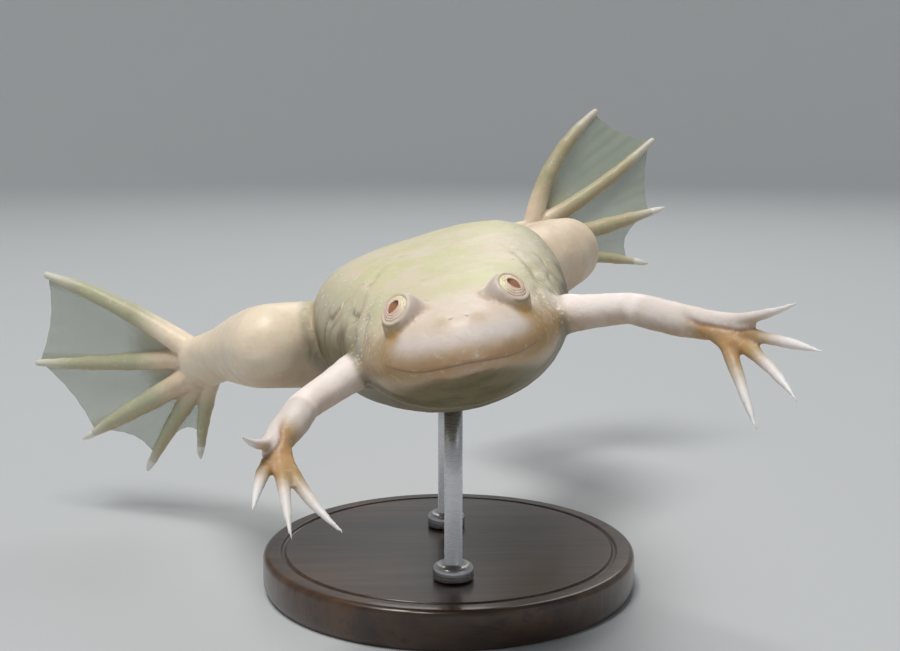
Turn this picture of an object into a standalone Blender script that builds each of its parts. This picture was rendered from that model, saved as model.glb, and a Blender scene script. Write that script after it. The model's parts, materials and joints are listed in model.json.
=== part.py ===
"""African clawed frog swimming, as a life-size display model on a small stand.

The animal is drawn in its own frame, in millimetres: X towards its left side, Y backwards
from the tip of the snout, Z up, with the mouth line near Z = 0. An empty then banks the
body a little and lifts it over the middle of the stand, which stands on Z = 0.
"""

import math

import bmesh
import bpy
import numpy as np
from mathutils import Vector

MM = 0.001
GAP = 0.3                     # between neighbouring pieces
BODY_LENGTH = 64.0            # snout to vent
BANK_ANGLE = math.radians(-10.8)
SNOUT_HEIGHT = 37.5           # of the snout's tip over the table
BODY_MIDDLE = 43.0            # this far behind the snout, the body is over the stand
NECK = 16.0                   # the head ends and the trunk begins here

# Outline of the body: back from the snout, half width, back, belly, level of the widest line,
# fullness of the back's section (2 is an ellipse), its roll in degrees, and its middle
BODY_STATIONS = (
    (0.0, 0.0, 0.0, 0.0, 0.0, 2.1, 0.0, 0.0),
    (0.6, 2.8, 2.4, -1.0, 0.0, 2.1, 0.0, 0.0),
    (1.7, 4.6, 3.8, -1.8, 0.0, 2.1, 0.0, 0.0),
    (3.6, 6.4, 4.5, -2.9, -0.1, 2.2, 0.0, 0.0),
    (6.6, 8.3, 5.0, -4.4, -0.3, 2.2, 0.0, 0.0),
    (10.5, 9.9, 5.7, -6.3, -0.5, 2.2, 0.0, 0.0),
    (16.0, 11.5, 6.5, -8.3, -0.9, 2.3, 0.0, -0.2),
    (22.0, 13.1, 7.1, -9.7, -1.1, 2.5, -0.6, -0.6),
    (29.0, 14.7, 7.8, -10.6, -1.2, 2.9, -2.2, -1.1),
    (37.0, 15.4, 8.2, -10.7, -1.2, 3.3, -4.2, -1.5),
    (45.0, 15.1, 8.1, -9.7, -1.0, 3.3, -5.6, -1.6),
    (52.0, 13.6, 7.4, -8.1, -0.7, 2.9, -6.0, -1.4),
    (57.5, 10.9, 5.8, -6.4, -0.5, 2.6, -6.0, -1.0),
    (61.5, 7.1, 3.7, -4.3, -0.4, 2.3, -6.0, -0.6),
    (63.5, 3.3, 1.8, -2.2, -0.3, 2.1, -6.0, -0.3),
    (64.0, 0.0, -0.3, -0.3, -0.3, 2.1, -6.0, -0.2),
)
BELLY_FULLNESS = 1.95
BODY_SIDES = 36
HEAD_ROWS = 13
TRUNK_ROWS = 19

EYE_MIDDLE = (5.40, 7.47, 4.67)
EYE_GAZE = (0.54, -0.52, 0.66)
EYE_RADIUS = 1.88
EYE_DEPTH = 1.0
EYE_LEVEL = 0.6               # of its widest ring, over EYE_MIDDLE along the gaze
EYE_SIDES = 20
TURRET_SIDES = 22
LID_PROFILE = ((3.1, -2.2), (3.0, -1.2), (2.85, -0.2), (2.62, 0.6), (2.35, 1.15), (1.5, 1.3))

NOSTRIL = (0.85, 2.2, 4.15)
NOSTRIL_RADIUS = 0.42
NOSTRIL_SEGMENTS = 8
TENTACLE_ROOT = (5.5, 4.8, 2.6)
TENTACLE_TIP = (6.0, 4.0, 2.8)
TENTACLE_RADII = (0.4, 0.3, 0.22)
TENTACLE_ROWS = 4
TENTACLE_SIDES = 6
# Height of the mouth line at some distances from the middle of the face
MOUTH_LINE = ((0.0, -0.1), (2.4, -0.3), (4.8, -0.5), (6.5, -0.4), (8.2, -0.1), (9.6, 0.3))
MOUTH_CORNER = 9.2            # this far behind the snout
MOUTH_STEPS = 25
MOUTH_DEPTH = 0.6
MOUTH_HALF_HEIGHT = 0.17

LIMB_SIDES = 14
SHANK_SIDES = 16
THIGH_SIDES = 18
FINGER_SIDES = 8
RIDGE_SIDES = 10
ARM_ROWS = 8
PALM_ROWS = 4
RIDGE_ROWS = 14
FINGER_ROWS = 9
LEG_ROWS = 9
TARSUS_ROWS = 5
TOE_ROWS = 9
CLAW_ROWS = 5
DOME_TURNS = (math.radians(32), math.radians(62))

ARMS = {
    "left": {
        "shoulder": (8.6, 18.5, -0.2),
        "elbow": (17.5, 8.5, 0.6),
        "wrist": (23.4, 0.0, -1.1),
        "knuckles": ((25.7, -2.8, -0.4), (25.9, -3.1, -1.5), (25.5, -3.2, -2.4), (24.3, -2.9, -2.6)),
        "fingertips": ((30.0, -9.1, 1.4), (31.1, -11.5, -3.0), (27.9, -11.9, -6.9), (24.4, -9.4, -9.3)),
        "finger_bow": ((0.0, 0.0, -0.2), (0.0, 0.0, 0.0), (0.2, 0.0, 0.3), (0.05, 0.0, 0.0)),
        "back_of_arm": (0.10, -0.25, 0.97),
    },
    "right": {
        "shoulder": (-8.6, 18.5, -0.9),
        "elbow": (-17.0, 7.8, -2.7),
        "wrist": (-18.9, -1.6, -3.5),
        "knuckles": ((-20.1, -4.0, -3.1), (-20.3, -4.4, -4.8), (-19.0, -4.6, -5.2), (-18.5, -4.5, -5.1)),
        "fingertips": ((-21.4, -8.6, -1.0), (-21.4, -12.1, -7.0), (-18.5, -12.5, -10.0),
                       (-14.1, -11.0, -10.8)),
        "finger_bow": ((0.0, 0.0, -0.3), (0.0, -0.3, 0.2), (0.0, -0.3, 0.3), (-0.4, -0.2, -0.1)),
        "back_of_arm": (-0.75, 0.0, 0.66),
    },
}
UPPER_ARM_RADII = (3.4, 2.4, 1.95, 1.75, 1.65)
FOREARM_RADII = (1.65, 1.72, 1.68, 1.6, 1.5)
PALM_RADII = (1.45, 1.4, 1.1)
PALM_FLATNESS = 0.8
# The ridge on the back of the forearm goes on as the outer finger
RIDGE_START = 0.45            # share of the way from the elbow to the wrist
RIDGE_START_RISE = 0.4        # over the middle of the forearm there
RIDGE_RISE = 0.75             # over the middle of the wrist
RIDGE_RADII = (1.0, 1.2, 1.15, 0.96, 0.72, 0.62, 0.5, 0.34, 0.16)
FINGER_ROOT = 0.4             # share of the way from the wrist to the knuckle
FINGER_RADII = (0.92, 0.84, 0.75, 0.67, 0.58, 0.47, 0.32, 0.16)

LEGS = {
    "left": {
        "hip": (6.5, 56.0, -0.6), "knee": (18.9, 77.0, -1.8), "ankle": (7.0, 99.0, -3.8),
        "sole": (14.6, 105.4, -2.8),
        "toe_roots": ((13.4, 105.7, -6.1), (13.8, 105.5, -4.6), (14.2, 105.4, -3.2),
                      (14.7, 105.3, -1.2), (17.4, 105.8, -0.2)),
        "toe_tips": ((23.0, 112.0, -12.6), (35.5, 106.4, -10.4), (40.0, 106.9, -1.6),
                     (40.3, 108.4, 10.0), (31.6, 109.4, 16.6)),
        "toe_bow": ((0.4, 0.0, 0.6), (0.2, 0.0, 0.6), (0.0, 0.0, -0.4), (0.6, 0.0, -1.0), (-1.7, 0.0, 1.0)),
    },
    "right": {
        "hip": (-7.5, 54.0, -5.0), "knee": (-22.6, 38.0, -0.9), "ankle": (-31.3, 60.6, -4.3),
        "sole": (-36.7, 67.8, -6.2),
        "toe_roots": ((-35.2, 67.5, -8.2), (-35.8, 67.6, -7.5), (-37.0, 67.7, -7.4),
                      (-37.1, 68.0, -5.3), (-38.1, 68.2, -3.5)),
        "toe_tips": ((-40.3, 71.9, -20.8), (-49.2, 75.7, -22.0), (-57.9, 77.2, -15.7),
                     (-62.6, 79.4, -3.3), (-57.2, 75.7, 9.8)),
        "toe_bow": ((-0.4, 0.0, 0.0), (-0.35, 0.0, 0.1), (0.0, 0.0, 0.0), (0.0, 0.0, -0.3), (0.2, 0.0, 0.8)),
    },
}
THIGH_RADII = (4.4, 5.3, 5.5, 5.2)
THIGH_SAG = (0.0, 0.0, -0.5)
SHANK_RADII = (5.2, 5.2, 4.9, 4.4, 3.9)
TARSUS_RADII = (3.9, 3.8, 3.9)
SOLE_FLATNESS = 0.68
TOE_SIDES = 8
TOE_RADII = (1.3, 1.12, 0.96, 0.76, 0.42)         # as shares of the toe's half thickness
TOE_HALF_THICKNESS = (1.1, 1.25, 1.52, 1.24, 1.36)  # inner toe first
WEB_THICKNESS = 0.56
WEB_START = 0.16              # share of the toes' length that lies in the sole
WEB_REACH = (0.8, 0.93, 0.97, 0.985)              # how far along the toes each web goes
WEB_NOTCH = (0.12, 0.07, 0.02, 0.03)              # how far its free edge is hollow
WEB_BILLOW = (0.3, 0.5, 0.8, 0.8)                 # how far it bellies out backwards
WEB_BILLOW_END = 0.8          # share of the toes' length past which the belly stays the same
WEB_ROWS = 7
WEB_COLUMNS = 5
CLAWED_TOES = 3
CLAW_LENGTH = 2.0
CLAW_RADII = (0.6, 0.54, 0.4, 0.14)
CLAW_BED = 0.05               # the toe's end is this much thicker than the claw
CLAW_HOOK = 0.12

BASE_RADIUS = 24.0
BASE_THICKNESS = 5.0
BASE_CHAMFER = 0.8
BASE_CHAMFER_STEPS = 2
BASE_SIDES = 64
ROD_RADIUS = 1.1
ROD_SIDES = 20
COLLAR_RADIUS = 2.5
COLLAR_HEIGHT = 1.8
COLLAR_STRAIGHT = 0.6         # share of its height that is upright
COLLAR_STEP = 0.5             # it ends this far outside the rod
RODS = {"front": -13.0, "rear": 8.0}              # from the middle of the stand

# Colour, roughness and metallic share of each finish
FINISHES = {
    "pink_skin": ((0.80, 0.70, 0.60), 0.5, 0.0),
    "cream_skin": ((0.72, 0.66, 0.48), 0.5, 0.0),
    "eye": ((0.76, 0.56, 0.44), 0.4, 0.0),
    "claw_horn": ((0.76, 0.73, 0.65), 0.3, 0.0),
    "dark_wood": ((0.045, 0.022, 0.012), 0.35, 0.0),
    "brushed_steel": ((0.62, 0.62, 0.64), 0.3, 1.0),
}

SHARP_ANGLE = math.radians(40)
NEAR_ZERO = 0.02
NEXT_TO_PLANE = 1e-6          # metres


def make_material(name):
    colour, roughness, metallic = FINISHES[name]
    material = bpy.data.materials.new(name)
    material.use_nodes = True
    shader = material.node_tree.nodes["Principled BSDF"]
    shader.inputs["Base Color"].default_value = (*colour, 1.0)
    shader.inputs["Roughness"].default_value = roughness
    shader.inputs["Metallic"].default_value = metallic
    return material


def make_collection(name):
    collection = bpy.data.collections.new(name)
    bpy.context.scene.collection.children.link(collection)
    return collection


def unit(vector):
    vector = np.asarray(vector, float)
    return vector / np.linalg.norm(vector)


def smooth_curve(knots, values, at):
    """Values read from a smooth curve (cubic Hermite) through the knots."""
    knots = np.asarray(knots, float)
    values = np.asarray(values, float).reshape(len(knots), -1)
    at = np.clip(np.asarray(at, float), knots[0], knots[-1])
    slopes = np.gradient(values, knots, axis=0)
    index = np.clip(np.searchsorted(knots, at, side="right") - 1, 0, len(knots) - 2)
    width = (knots[index + 1] - knots[index])[:, None]
    part = (at - knots[index])[:, None] / width
    end_share = part * part * (3 - 2 * part)
    start_slope = part * (1 - part) ** 2 * width
    end_slope = part * part * (part - 1) * width
    curve = (1 - end_share) * values[index] + end_share * values[index + 1]
    return curve + start_slope * slopes[index] + end_slope * slopes[index + 1]


def bowed_line(start, end, bow, at):
    """Points along a line from start to end that bows out sideways in its middle."""
    at = np.asarray(at, float)[:, None]
    start = np.asarray(start, float)
    return start + at * (np.asarray(end) - start) + 4 * at * (1 - at) * np.asarray(bow)


def mesh_object(name, points, faces):
    """An object in the working collection; its points are given in millimetres."""
    mesh = bpy.data.meshes.new(name)
    mesh.from_pydata((np.asarray(points) * MM).tolist(), [], faces)
    shape = bmesh.new()
    shape.from_mesh(mesh)
    bmesh.ops.recalc_face_normals(shape, faces=shape.faces)
    shape.to_mesh(mesh)
    shape.free()
    solid = bpy.data.objects.new(name, mesh)
    workshop.objects.link(solid)
    return solid


def solid_from_rings(name, rings, start_tip=None, end_tip=None):
    """A closed solid from rings of points; each end is drawn to a tip or is a flat cap."""
    rings = [np.asarray(ring) for ring in rings]
    sides = len(rings[0])
    points = np.concatenate(rings)
    faces = []
    for row in range(len(rings) - 1):
        for i in range(sides):
            j = (i + 1) % sides
            lower = row * sides
            upper = lower + sides
            faces.append((lower + i, lower + j, upper + j, upper + i))
    for tip, first in ((start_tip, 0), (end_tip, (len(rings) - 1) * sides)):
        if tip is None:
            faces.append(tuple(range(first, first + sides)))
            continue
        faces.extend((first + i, first + (i + 1) % sides, len(points)) for i in range(sides))
        points = np.vstack((points, tip))
    return mesh_object(name, points, faces)


def dome(ring, beyond):
    """The rings that round off the end of a limb, and their tip."""
    middle = ring.mean(axis=0)
    rings = [middle + (ring - middle) * math.cos(turn) + beyond * math.sin(turn) for turn in DOME_TURNS]
    return rings, middle + beyond


def swept_rings(path, radii, sides, flatness=1.0, upright=(0, 0, 1)):
    """Rings square to a path, flattened along the upright direction."""
    tangent = np.gradient(path, axis=0)
    tangent /= np.linalg.norm(tangent, axis=1)[:, None]
    across = np.cross(tangent, np.asarray(upright, float))
    across /= np.linalg.norm(across, axis=1)[:, None]
    raised = np.cross(across, tangent) * flatness
    angle = np.linspace(0, 2 * np.pi, sides, endpoint=False)
    return [
        centre + radius * (np.outer(np.cos(angle), side) + np.outer(np.sin(angle), top))
        for centre, radius, side, top in zip(path, radii, across, raised)
    ]


def swept_solid(name, points, radii, steps, sides, rounded=(False, False), **section):
    """A limb, finger or toe: rings along a smooth path, with flat or rounded ends."""
    points = np.asarray(points, float)
    lengths = np.concatenate(([0], np.cumsum(np.linalg.norm(np.diff(points, axis=0), axis=1))))
    at = np.linspace(0, lengths[-1], steps)
    path = smooth_curve(lengths, points, at)
    thickness = smooth_curve(np.linspace(0, lengths[-1], len(radii)), radii, at)[:, 0]
    rings = swept_rings(path, thickness, sides, **section)
    start_tip = None
    end_tip = None
    if rounded[0]:
        extra, start_tip = dome(rings[0], unit(path[0] - path[1]) * thickness[0])
        rings = extra[::-1] + rings
    if rounded[1]:
        extra, end_tip = dome(rings[-1], unit(path[-1] - path[-2]) * thickness[-1])
        rings = rings + extra
    return solid_from_rings(name, rings, start_tip, end_tip)


def body_section(distances, sides=BODY_SIDES):
    """Rings of the body's skin at some distances behind the snout."""
    stations = np.array(BODY_STATIONS)
    knots = np.arccos(1 - 2 * stations[:, 0] / BODY_LENGTH)
    turns = np.arccos(1 - 2 * np.asarray(distances) / BODY_LENGTH)
    outline = smooth_curve(knots, stations[:, 1:], turns)
    angle = np.linspace(0, 2 * np.pi, sides, endpoint=False)
    rings = []
    for distance, (half_width, back, belly, side_level, fullness, roll, middle) in zip(distances, outline):
        on_back = np.sin(angle) > 0
        power = 2 / np.where(on_back, fullness, BELLY_FULLNESS)
        height = np.where(on_back, back - side_level, side_level - belly)
        across = half_width * np.sign(np.cos(angle)) * np.abs(np.cos(angle)) ** power
        level = side_level + height * np.sign(np.sin(angle)) * np.abs(np.sin(angle)) ** power
        tilt = math.radians(roll)
        rolled_across = middle + across * math.cos(tilt) + level * math.sin(tilt)
        rolled_level = level * math.cos(tilt) - across * math.sin(tilt)
        rings.append(np.column_stack((rolled_across, np.full(sides, distance), rolled_level)))
    return rings


def body_distances(start, end, rows):
    """Distances behind the snout that crowd together towards the body's rounded ends."""
    first = np.arccos(1 - 2 * start / BODY_LENGTH)
    last = np.arccos(1 - 2 * end / BODY_LENGTH)
    return BODY_LENGTH * (1 - np.cos(np.linspace(first, last, rows))) / 2


def mouth_path(inset, points):
    """The mouth line from corner to corner round the snout, moved in."""
    turns = np.linspace(-1, 1, points)
    distances = np.maximum(MOUTH_CORNER * turns**2, NEAR_ZERO)
    rings = body_section(distances, 4)
    sides = [ring[0] if turn > 0 else ring[2] for ring, turn in zip(rings, turns)]
    line = np.array(sides)
    centre = np.array((0.0, MOUTH_CORNER, 0.0))
    inward = centre - line
    inward[:, 2] = 0
    inward /= np.linalg.norm(inward, axis=1)[:, None]
    across, height = np.transpose(MOUTH_LINE)
    line[:, 2] = smooth_curve(across, height, np.abs(line[:, 0]))[:, 0]
    return line + inward * inset


def bake_modifiers(solid):
    """Replace a mesh by what its modifiers make of it."""
    graph = bpy.context.evaluated_depsgraph_get()
    finished = bpy.data.meshes.new_from_object(solid.evaluated_get(graph))
    solid.modifiers.clear()
    solid.data = finished


def combine(solid, pieces, operation):
    """Join pieces to a solid, or cut them out of it, and keep the largest closed surface."""
    others = make_collection(solid.name + "_pieces")
    for piece in pieces:
        others.objects.link(piece)
    step = solid.modifiers.new(operation.lower(), "BOOLEAN")
    step.operation = operation
    step.operand_type = "COLLECTION"
    step.collection = others
    step.solver = "EXACT"
    bake_modifiers(solid)
    for piece in pieces:
        bpy.data.objects.remove(piece)
    bpy.data.collections.remove(others)
    keep_largest(solid)
    return solid


def keep_largest(solid):
    """Keep the closed surface with the largest volume and drop the scraps."""
    shape = bmesh.new()
    shape.from_mesh(solid.data)
    bmesh.ops.triangulate(shape, faces=shape.faces)
    waiting = set(shape.faces)
    surfaces = []
    while waiting:
        surface = []
        reached = [waiting.pop()]
        while reached:
            face = reached.pop()
            surface.append(face)
            for edge in face.edges:
                for neighbour in edge.link_faces:
                    if neighbour in waiting:
                        waiting.remove(neighbour)
                        reached.append(neighbour)
        surfaces.append(surface)
    surfaces.sort(key=surface_volume, reverse=True)
    scraps = [face for surface in surfaces[1:] for face in surface]
    bmesh.ops.delete(shape, geom=scraps, context="FACES")
    shape.to_mesh(solid.data)
    shape.free()


def surface_volume(faces):
    total = 0.0
    for face in faces:
        a, b, c = (vertex.co for vertex in face.verts)
        total += a.dot(b.cross(c)) / 6
    return total


def grown_copy(solid, distance=GAP):
    """A copy whose skin stands off by a distance, to cut a neighbour clear."""
    copy = bpy.data.objects.new(solid.name + "_clearance", solid.data.copy())
    shape = bmesh.new()
    shape.from_mesh(copy.data)
    shape.normal_update()
    for vertex in shape.verts:
        vertex.co += vertex.normal * distance * MM
    shape.to_mesh(copy.data)
    shape.free()
    cutters.objects.link(copy)
    copy.hide_render = True
    copy.display_type = "WIRE"
    return copy


def cut_by_plane(solid, point, normal):
    """Keep the side that the normal points to, and close the cut with a flat face."""
    shape = bmesh.new()
    shape.from_mesh(solid.data)
    everything = shape.verts[:] + shape.edges[:] + shape.faces[:]
    result = bmesh.ops.bisect_plane(
        shape, geom=everything, dist=NEXT_TO_PLANE,
        plane_co=Vector(point) * MM, plane_no=Vector(normal), clear_inner=True,
    )
    rim = [item for item in result["geom_cut"] if isinstance(item, bmesh.types.BMEdge)]
    bmesh.ops.edgeloop_fill(shape, edges=rim)
    bmesh.ops.recalc_face_normals(shape, faces=shape.faces)
    shape.to_mesh(solid.data)
    shape.free()


def part_at_joint(nearer, further, joint, before, after):
    """Cut two lengths of a limb apart along the plane that halves the bend."""
    joint = np.asarray(joint, float)
    normal = unit(unit(np.asarray(before) - joint) - unit(np.asarray(after) - joint))
    cut_by_plane(nearer, joint + normal * GAP / 2, normal)
    cut_by_plane(further, joint - normal * GAP / 2, -normal)


def turned_solid(name, profile, middle, axis, sides, ends=None):
    """A solid turned about an axis from pairs of radius and height along it. With the heights of
    two ends it closes in points there, and else in flat faces."""
    axis = unit(axis)
    path = np.asarray(middle) + np.outer([height for _, height in profile], axis)
    side = unit(np.cross(axis, (0.0, 1.0, 0.0)))
    other = np.cross(axis, side)
    angle = np.linspace(0, 2 * np.pi, sides, endpoint=False)
    around = np.outer(np.cos(angle), side) + np.outer(np.sin(angle), other)
    rings = [centre + radius * around for centre, (radius, _) in zip(path, profile)]
    if ends is None:
        return solid_from_rings(name, rings)
    return solid_from_rings(name, rings, *(np.asarray(middle) + height * axis for height in ends))


def ball(name, middle, radius, segments):
    bpy.ops.mesh.primitive_uv_sphere_add(
        segments=segments, ring_count=segments // 2, radius=radius * MM, location=Vector(middle) * MM
    )
    sphere = bpy.context.active_object
    bpy.ops.object.transform_apply(location=True, rotation=True, scale=True)
    for collection in sphere.users_collection:
        collection.objects.unlink(sphere)
    workshop.objects.link(sphere)
    sphere.name = name
    return sphere


def mirrored(point, side):
    return (point[0] if side == "left" else -point[0], point[1], point[2])


def make_trunk():
    rings = body_section(body_distances(NECK + GAP / 2, BODY_LENGTH, TRUNK_ROWS)[:-1])
    return solid_from_rings("trunk", rings, None, body_section((BODY_LENGTH,))[0].mean(axis=0))


def make_head():
    rings = body_section(body_distances(0, NECK - GAP / 2, HEAD_ROWS)[1:])
    head = solid_from_rings("head", rings, (0.0, 0.0, 0.0), None)
    additions = []
    for side in ("left", "right"):
        middle = mirrored(EYE_MIDDLE, side)
        gaze = mirrored(EYE_GAZE, side)
        additions.append(turned_solid("turret", LID_PROFILE, middle, gaze, TURRET_SIDES))
        tentacle = (mirrored(TENTACLE_ROOT, side), mirrored(TENTACLE_TIP, side))
        additions.append(
            swept_solid("tentacle", tentacle, TENTACLE_RADII, TENTACLE_ROWS, TENTACLE_SIDES, (False, True))
        )
    combine(head, additions, "UNION")
    openings = []
    for side in ("left", "right"):
        openings.append(eye_form("socket", side, GAP))
        openings.append(ball("nostril", mirrored(NOSTRIL, side), NOSTRIL_RADIUS, NOSTRIL_SEGMENTS))
    openings.append(make_mouth_cutter())
    return combine(head, openings, "DIFFERENCE")


def make_mouth_cutter():
    """A flat band along the mouth line, half outside the skin, that cuts the groove."""
    inner = mouth_path(MOUTH_DEPTH, MOUTH_STEPS)
    outer = mouth_path(-MOUTH_DEPTH, MOUTH_STEPS)
    lift = np.array((0.0, 0.0, MOUTH_HALF_HEIGHT))
    rings = [(a, b - lift, b + lift) for a, b in zip(inner, outer)]
    return solid_from_rings("mouth_line", rings)


def eye_form(name, side, clearance):
    """The low dome of an eye about its gaze, or with a clearance the socket round it."""
    across, along = EYE_RADIUS + clearance, EYE_DEPTH + clearance
    turns = np.linspace(0, np.pi, EYE_SIDES // 2 + 1)[1:-1]
    profile = [(across * math.sin(turn), EYE_LEVEL - along * math.cos(turn)) for turn in turns]
    ends = (EYE_LEVEL - along, EYE_LEVEL + along)
    return turned_solid(name, profile, mirrored(EYE_MIDDLE, side), mirrored(EYE_GAZE, side), EYE_SIDES, ends)


def finger_line(arm, finger, points):
    """Points on a finger from its knuckle to its tip."""
    at = np.linspace(0, 1, points)
    return bowed_line(arm["knuckles"][finger], arm["fingertips"][finger], arm["finger_bow"][finger], at)


def make_ridge(arm, back):
    """The form that runs over the back of the forearm and the wrist into the outer finger."""
    elbow, wrist = np.array(arm["elbow"]), np.array(arm["wrist"])
    start = elbow + RIDGE_START * (wrist - elbow) + RIDGE_START_RISE * back
    line = np.vstack((start, wrist + RIDGE_RISE * back, finger_line(arm, 0, RIDGE_ROWS // 2)))
    return swept_solid("ridge", line, RIDGE_RADII, RIDGE_ROWS, RIDGE_SIDES, (True, True), upright=back)


def make_arm(side, neighbours):
    arm = ARMS[side]
    shoulder, elbow, wrist = arm["shoulder"], arm["elbow"], arm["wrist"]
    palm_end = np.mean(arm["knuckles"][1:], axis=0)
    back = unit(arm["back_of_arm"])
    upper_arm = swept_solid(
        "upper_arm_" + side, (shoulder, elbow), UPPER_ARM_RADII, ARM_ROWS, LIMB_SIDES, (False, True)
    )
    forearm = swept_solid(
        "forearm_" + side, (elbow, wrist), FOREARM_RADII, ARM_ROWS, LIMB_SIDES, (True, True), upright=back
    )
    hand = swept_solid(
        "hand_" + side, (wrist, palm_end), PALM_RADII, PALM_ROWS, LIMB_SIDES, (True, True),
        flatness=PALM_FLATNESS, upright=back,
    )
    combine(forearm, [make_ridge(arm, back)], "UNION")
    fingers = [make_ridge(arm, back)]
    for finger in (1, 2, 3):
        line = finger_line(arm, finger, FINGER_ROWS - 2)
        root = np.asarray(wrist) + FINGER_ROOT * (line[0] - wrist)
        line = np.vstack((root, line))
        fingers.append(swept_solid("finger", line, FINGER_RADII, FINGER_ROWS, FINGER_SIDES, (False, True)))
    combine(hand, fingers, "UNION")
    part_at_joint(upper_arm, forearm, elbow, shoulder, wrist)
    part_at_joint(forearm, hand, wrist, elbow, palm_end)
    combine(upper_arm, [grown_copy(piece) for piece in neighbours], "DIFFERENCE")
    return [upper_arm, forearm, hand]


def toe_line(leg, toe, at):
    """Points along one toe, from inside the sole to its tip."""
    return bowed_line(leg["toe_roots"][toe], leg["toe_tips"][toe], leg["toe_bow"][toe], at)


def toe_share(leg, toe):
    """The share of the toe's length that is skin and not claw."""
    if toe >= CLAWED_TOES:
        return 1.0
    whole = toe_line(leg, toe, np.array((0.0, 1.0)))
    return 1 - CLAW_LENGTH / np.linalg.norm(whole[1] - whole[0])


def make_toe(leg, toe, foot_normal):
    line = toe_line(leg, toe, np.linspace(0, toe_share(leg, toe), TOE_ROWS))
    radii = np.array(TOE_RADII) * TOE_HALF_THICKNESS[toe]
    if toe < CLAWED_TOES:
        radii[-1] = CLAW_RADII[0] + CLAW_BED
    clawless = toe >= CLAWED_TOES
    return swept_solid("toe", line, radii, TOE_ROWS, TOE_SIDES, (False, clawless), upright=foot_normal)


def make_claw(side, leg, toe, foot_normal):
    """A horny claw that goes on from the end of a toe and hooks down a little."""
    share = toe_share(leg, toe)
    end, tip = toe_line(leg, toe, np.array((share, 1.0)))
    ahead = unit(tip - end)
    start = end + ahead * GAP
    end = start + ahead * CLAW_LENGTH
    line = bowed_line(start, end, foot_normal * CLAW_HOOK, np.linspace(0, 1, CLAW_ROWS))
    name = "claw_%s_%d" % (side, toe + 1)
    return swept_solid(name, line, CLAW_RADII, CLAW_ROWS, TOE_SIDES, (False, True), upright=foot_normal)


def make_web(leg, web, foot_normal):
    """The thin skin between two toes, of even thickness and with a hollow free edge."""
    along = np.linspace(WEB_START, 1, WEB_ROWS)
    across = np.linspace(0, 1, WEB_COLUMNS)
    sheet = []
    for share in across:
        reach = WEB_REACH[web] - WEB_NOTCH[web] * math.sin(math.pi * share)
        at = WEB_START + (along - WEB_START) * (reach - WEB_START) / (1 - WEB_START)
        inner = toe_line(leg, web, at * toe_share(leg, web))
        outer = toe_line(leg, web + 1, at * toe_share(leg, web + 1))
        billow = WEB_BILLOW[web] * math.sin(math.pi * share) * np.sin(np.pi * np.minimum(at, WEB_BILLOW_END))
        sheet.append(inner + share * (outer - inner) - billow[:, None] * foot_normal)
    sheet = np.array(sheet)
    slope = np.cross(np.gradient(sheet, axis=0), np.gradient(sheet, axis=1))
    slope /= np.linalg.norm(slope, axis=2)[:, :, None]
    lift = slope * WEB_THICKNESS / 2
    points = np.concatenate(((sheet + lift).reshape(-1, 3), (sheet - lift).reshape(-1, 3)))
    count = WEB_ROWS * WEB_COLUMNS
    faces = []
    for column in range(WEB_COLUMNS - 1):
        for row in range(WEB_ROWS - 1):
            a = column * WEB_ROWS + row
            b, c, d = a + 1, a + WEB_ROWS + 1, a + WEB_ROWS
            for offset in (0, count):
                faces.append((a + offset, b + offset, c + offset))
                faces.append((a + offset, c + offset, d + offset))
    rim = [column * WEB_ROWS for column in range(WEB_COLUMNS)]
    rim += [(WEB_COLUMNS - 1) * WEB_ROWS + row for row in range(1, WEB_ROWS)]
    rim += [column * WEB_ROWS + WEB_ROWS - 1 for column in range(WEB_COLUMNS - 2, -1, -1)]
    rim += list(range(WEB_ROWS - 2, 0, -1))
    for a, b in zip(rim, rim[1:] + rim[:1]):
        faces.append((a, b, b + count, a + count))
    return mesh_object("web", points, faces)


def make_leg(side, neighbours):
    leg = LEGS[side]
    hip, knee, ankle, sole = leg["hip"], leg["knee"], leg["ankle"], leg["sole"]
    tips = np.asarray(leg["toe_tips"])
    foot_normal = unit(np.cross(tips[-1] - sole, tips[0] - sole))
    if foot_normal[1] > 0:
        foot_normal = -foot_normal
    middle = (np.asarray(hip) + knee) / 2 + THIGH_SAG
    thigh = swept_solid(
        "thigh_" + side, (hip, middle, knee), THIGH_RADII, LEG_ROWS, THIGH_SIDES, (False, True)
    )
    shank = swept_solid("shank_" + side, (knee, ankle), SHANK_RADII, LEG_ROWS, SHANK_SIDES, (True, True))
    foot = swept_solid(
        "foot_" + side, (ankle, sole), TARSUS_RADII, TARSUS_ROWS, LIMB_SIDES, (True, True),
        flatness=SOLE_FLATNESS, upright=foot_normal,
    )
    part_at_joint(thigh, shank, knee, hip, ankle)
    part_at_joint(shank, foot, ankle, knee, sole)
    toes = [make_toe(leg, toe, foot_normal) for toe in range(len(tips))]
    webs = [make_web(leg, web, foot_normal) for web in range(len(tips) - 1)]
    combine(foot, toes + webs, "UNION")
    combine(thigh, [grown_copy(piece) for piece in neighbours], "DIFFERENCE")
    claws = [make_claw(side, leg, toe, foot_normal) for toe in range(CLAWED_TOES)]
    return [thigh, shank, foot] + claws


def make_base():
    bpy.ops.mesh.primitive_cylinder_add(
        vertices=BASE_SIDES, radius=BASE_RADIUS * MM, depth=BASE_THICKNESS * MM,
        location=(0, 0, BASE_THICKNESS * MM / 2),
    )
    base = bpy.context.active_object
    base.name = "stand_base"
    edge = base.modifiers.new("chamfer", "BEVEL")
    edge.width = BASE_CHAMFER * MM
    edge.segments = BASE_CHAMFER_STEPS
    edge.limit_method = "ANGLE"
    return base


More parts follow.
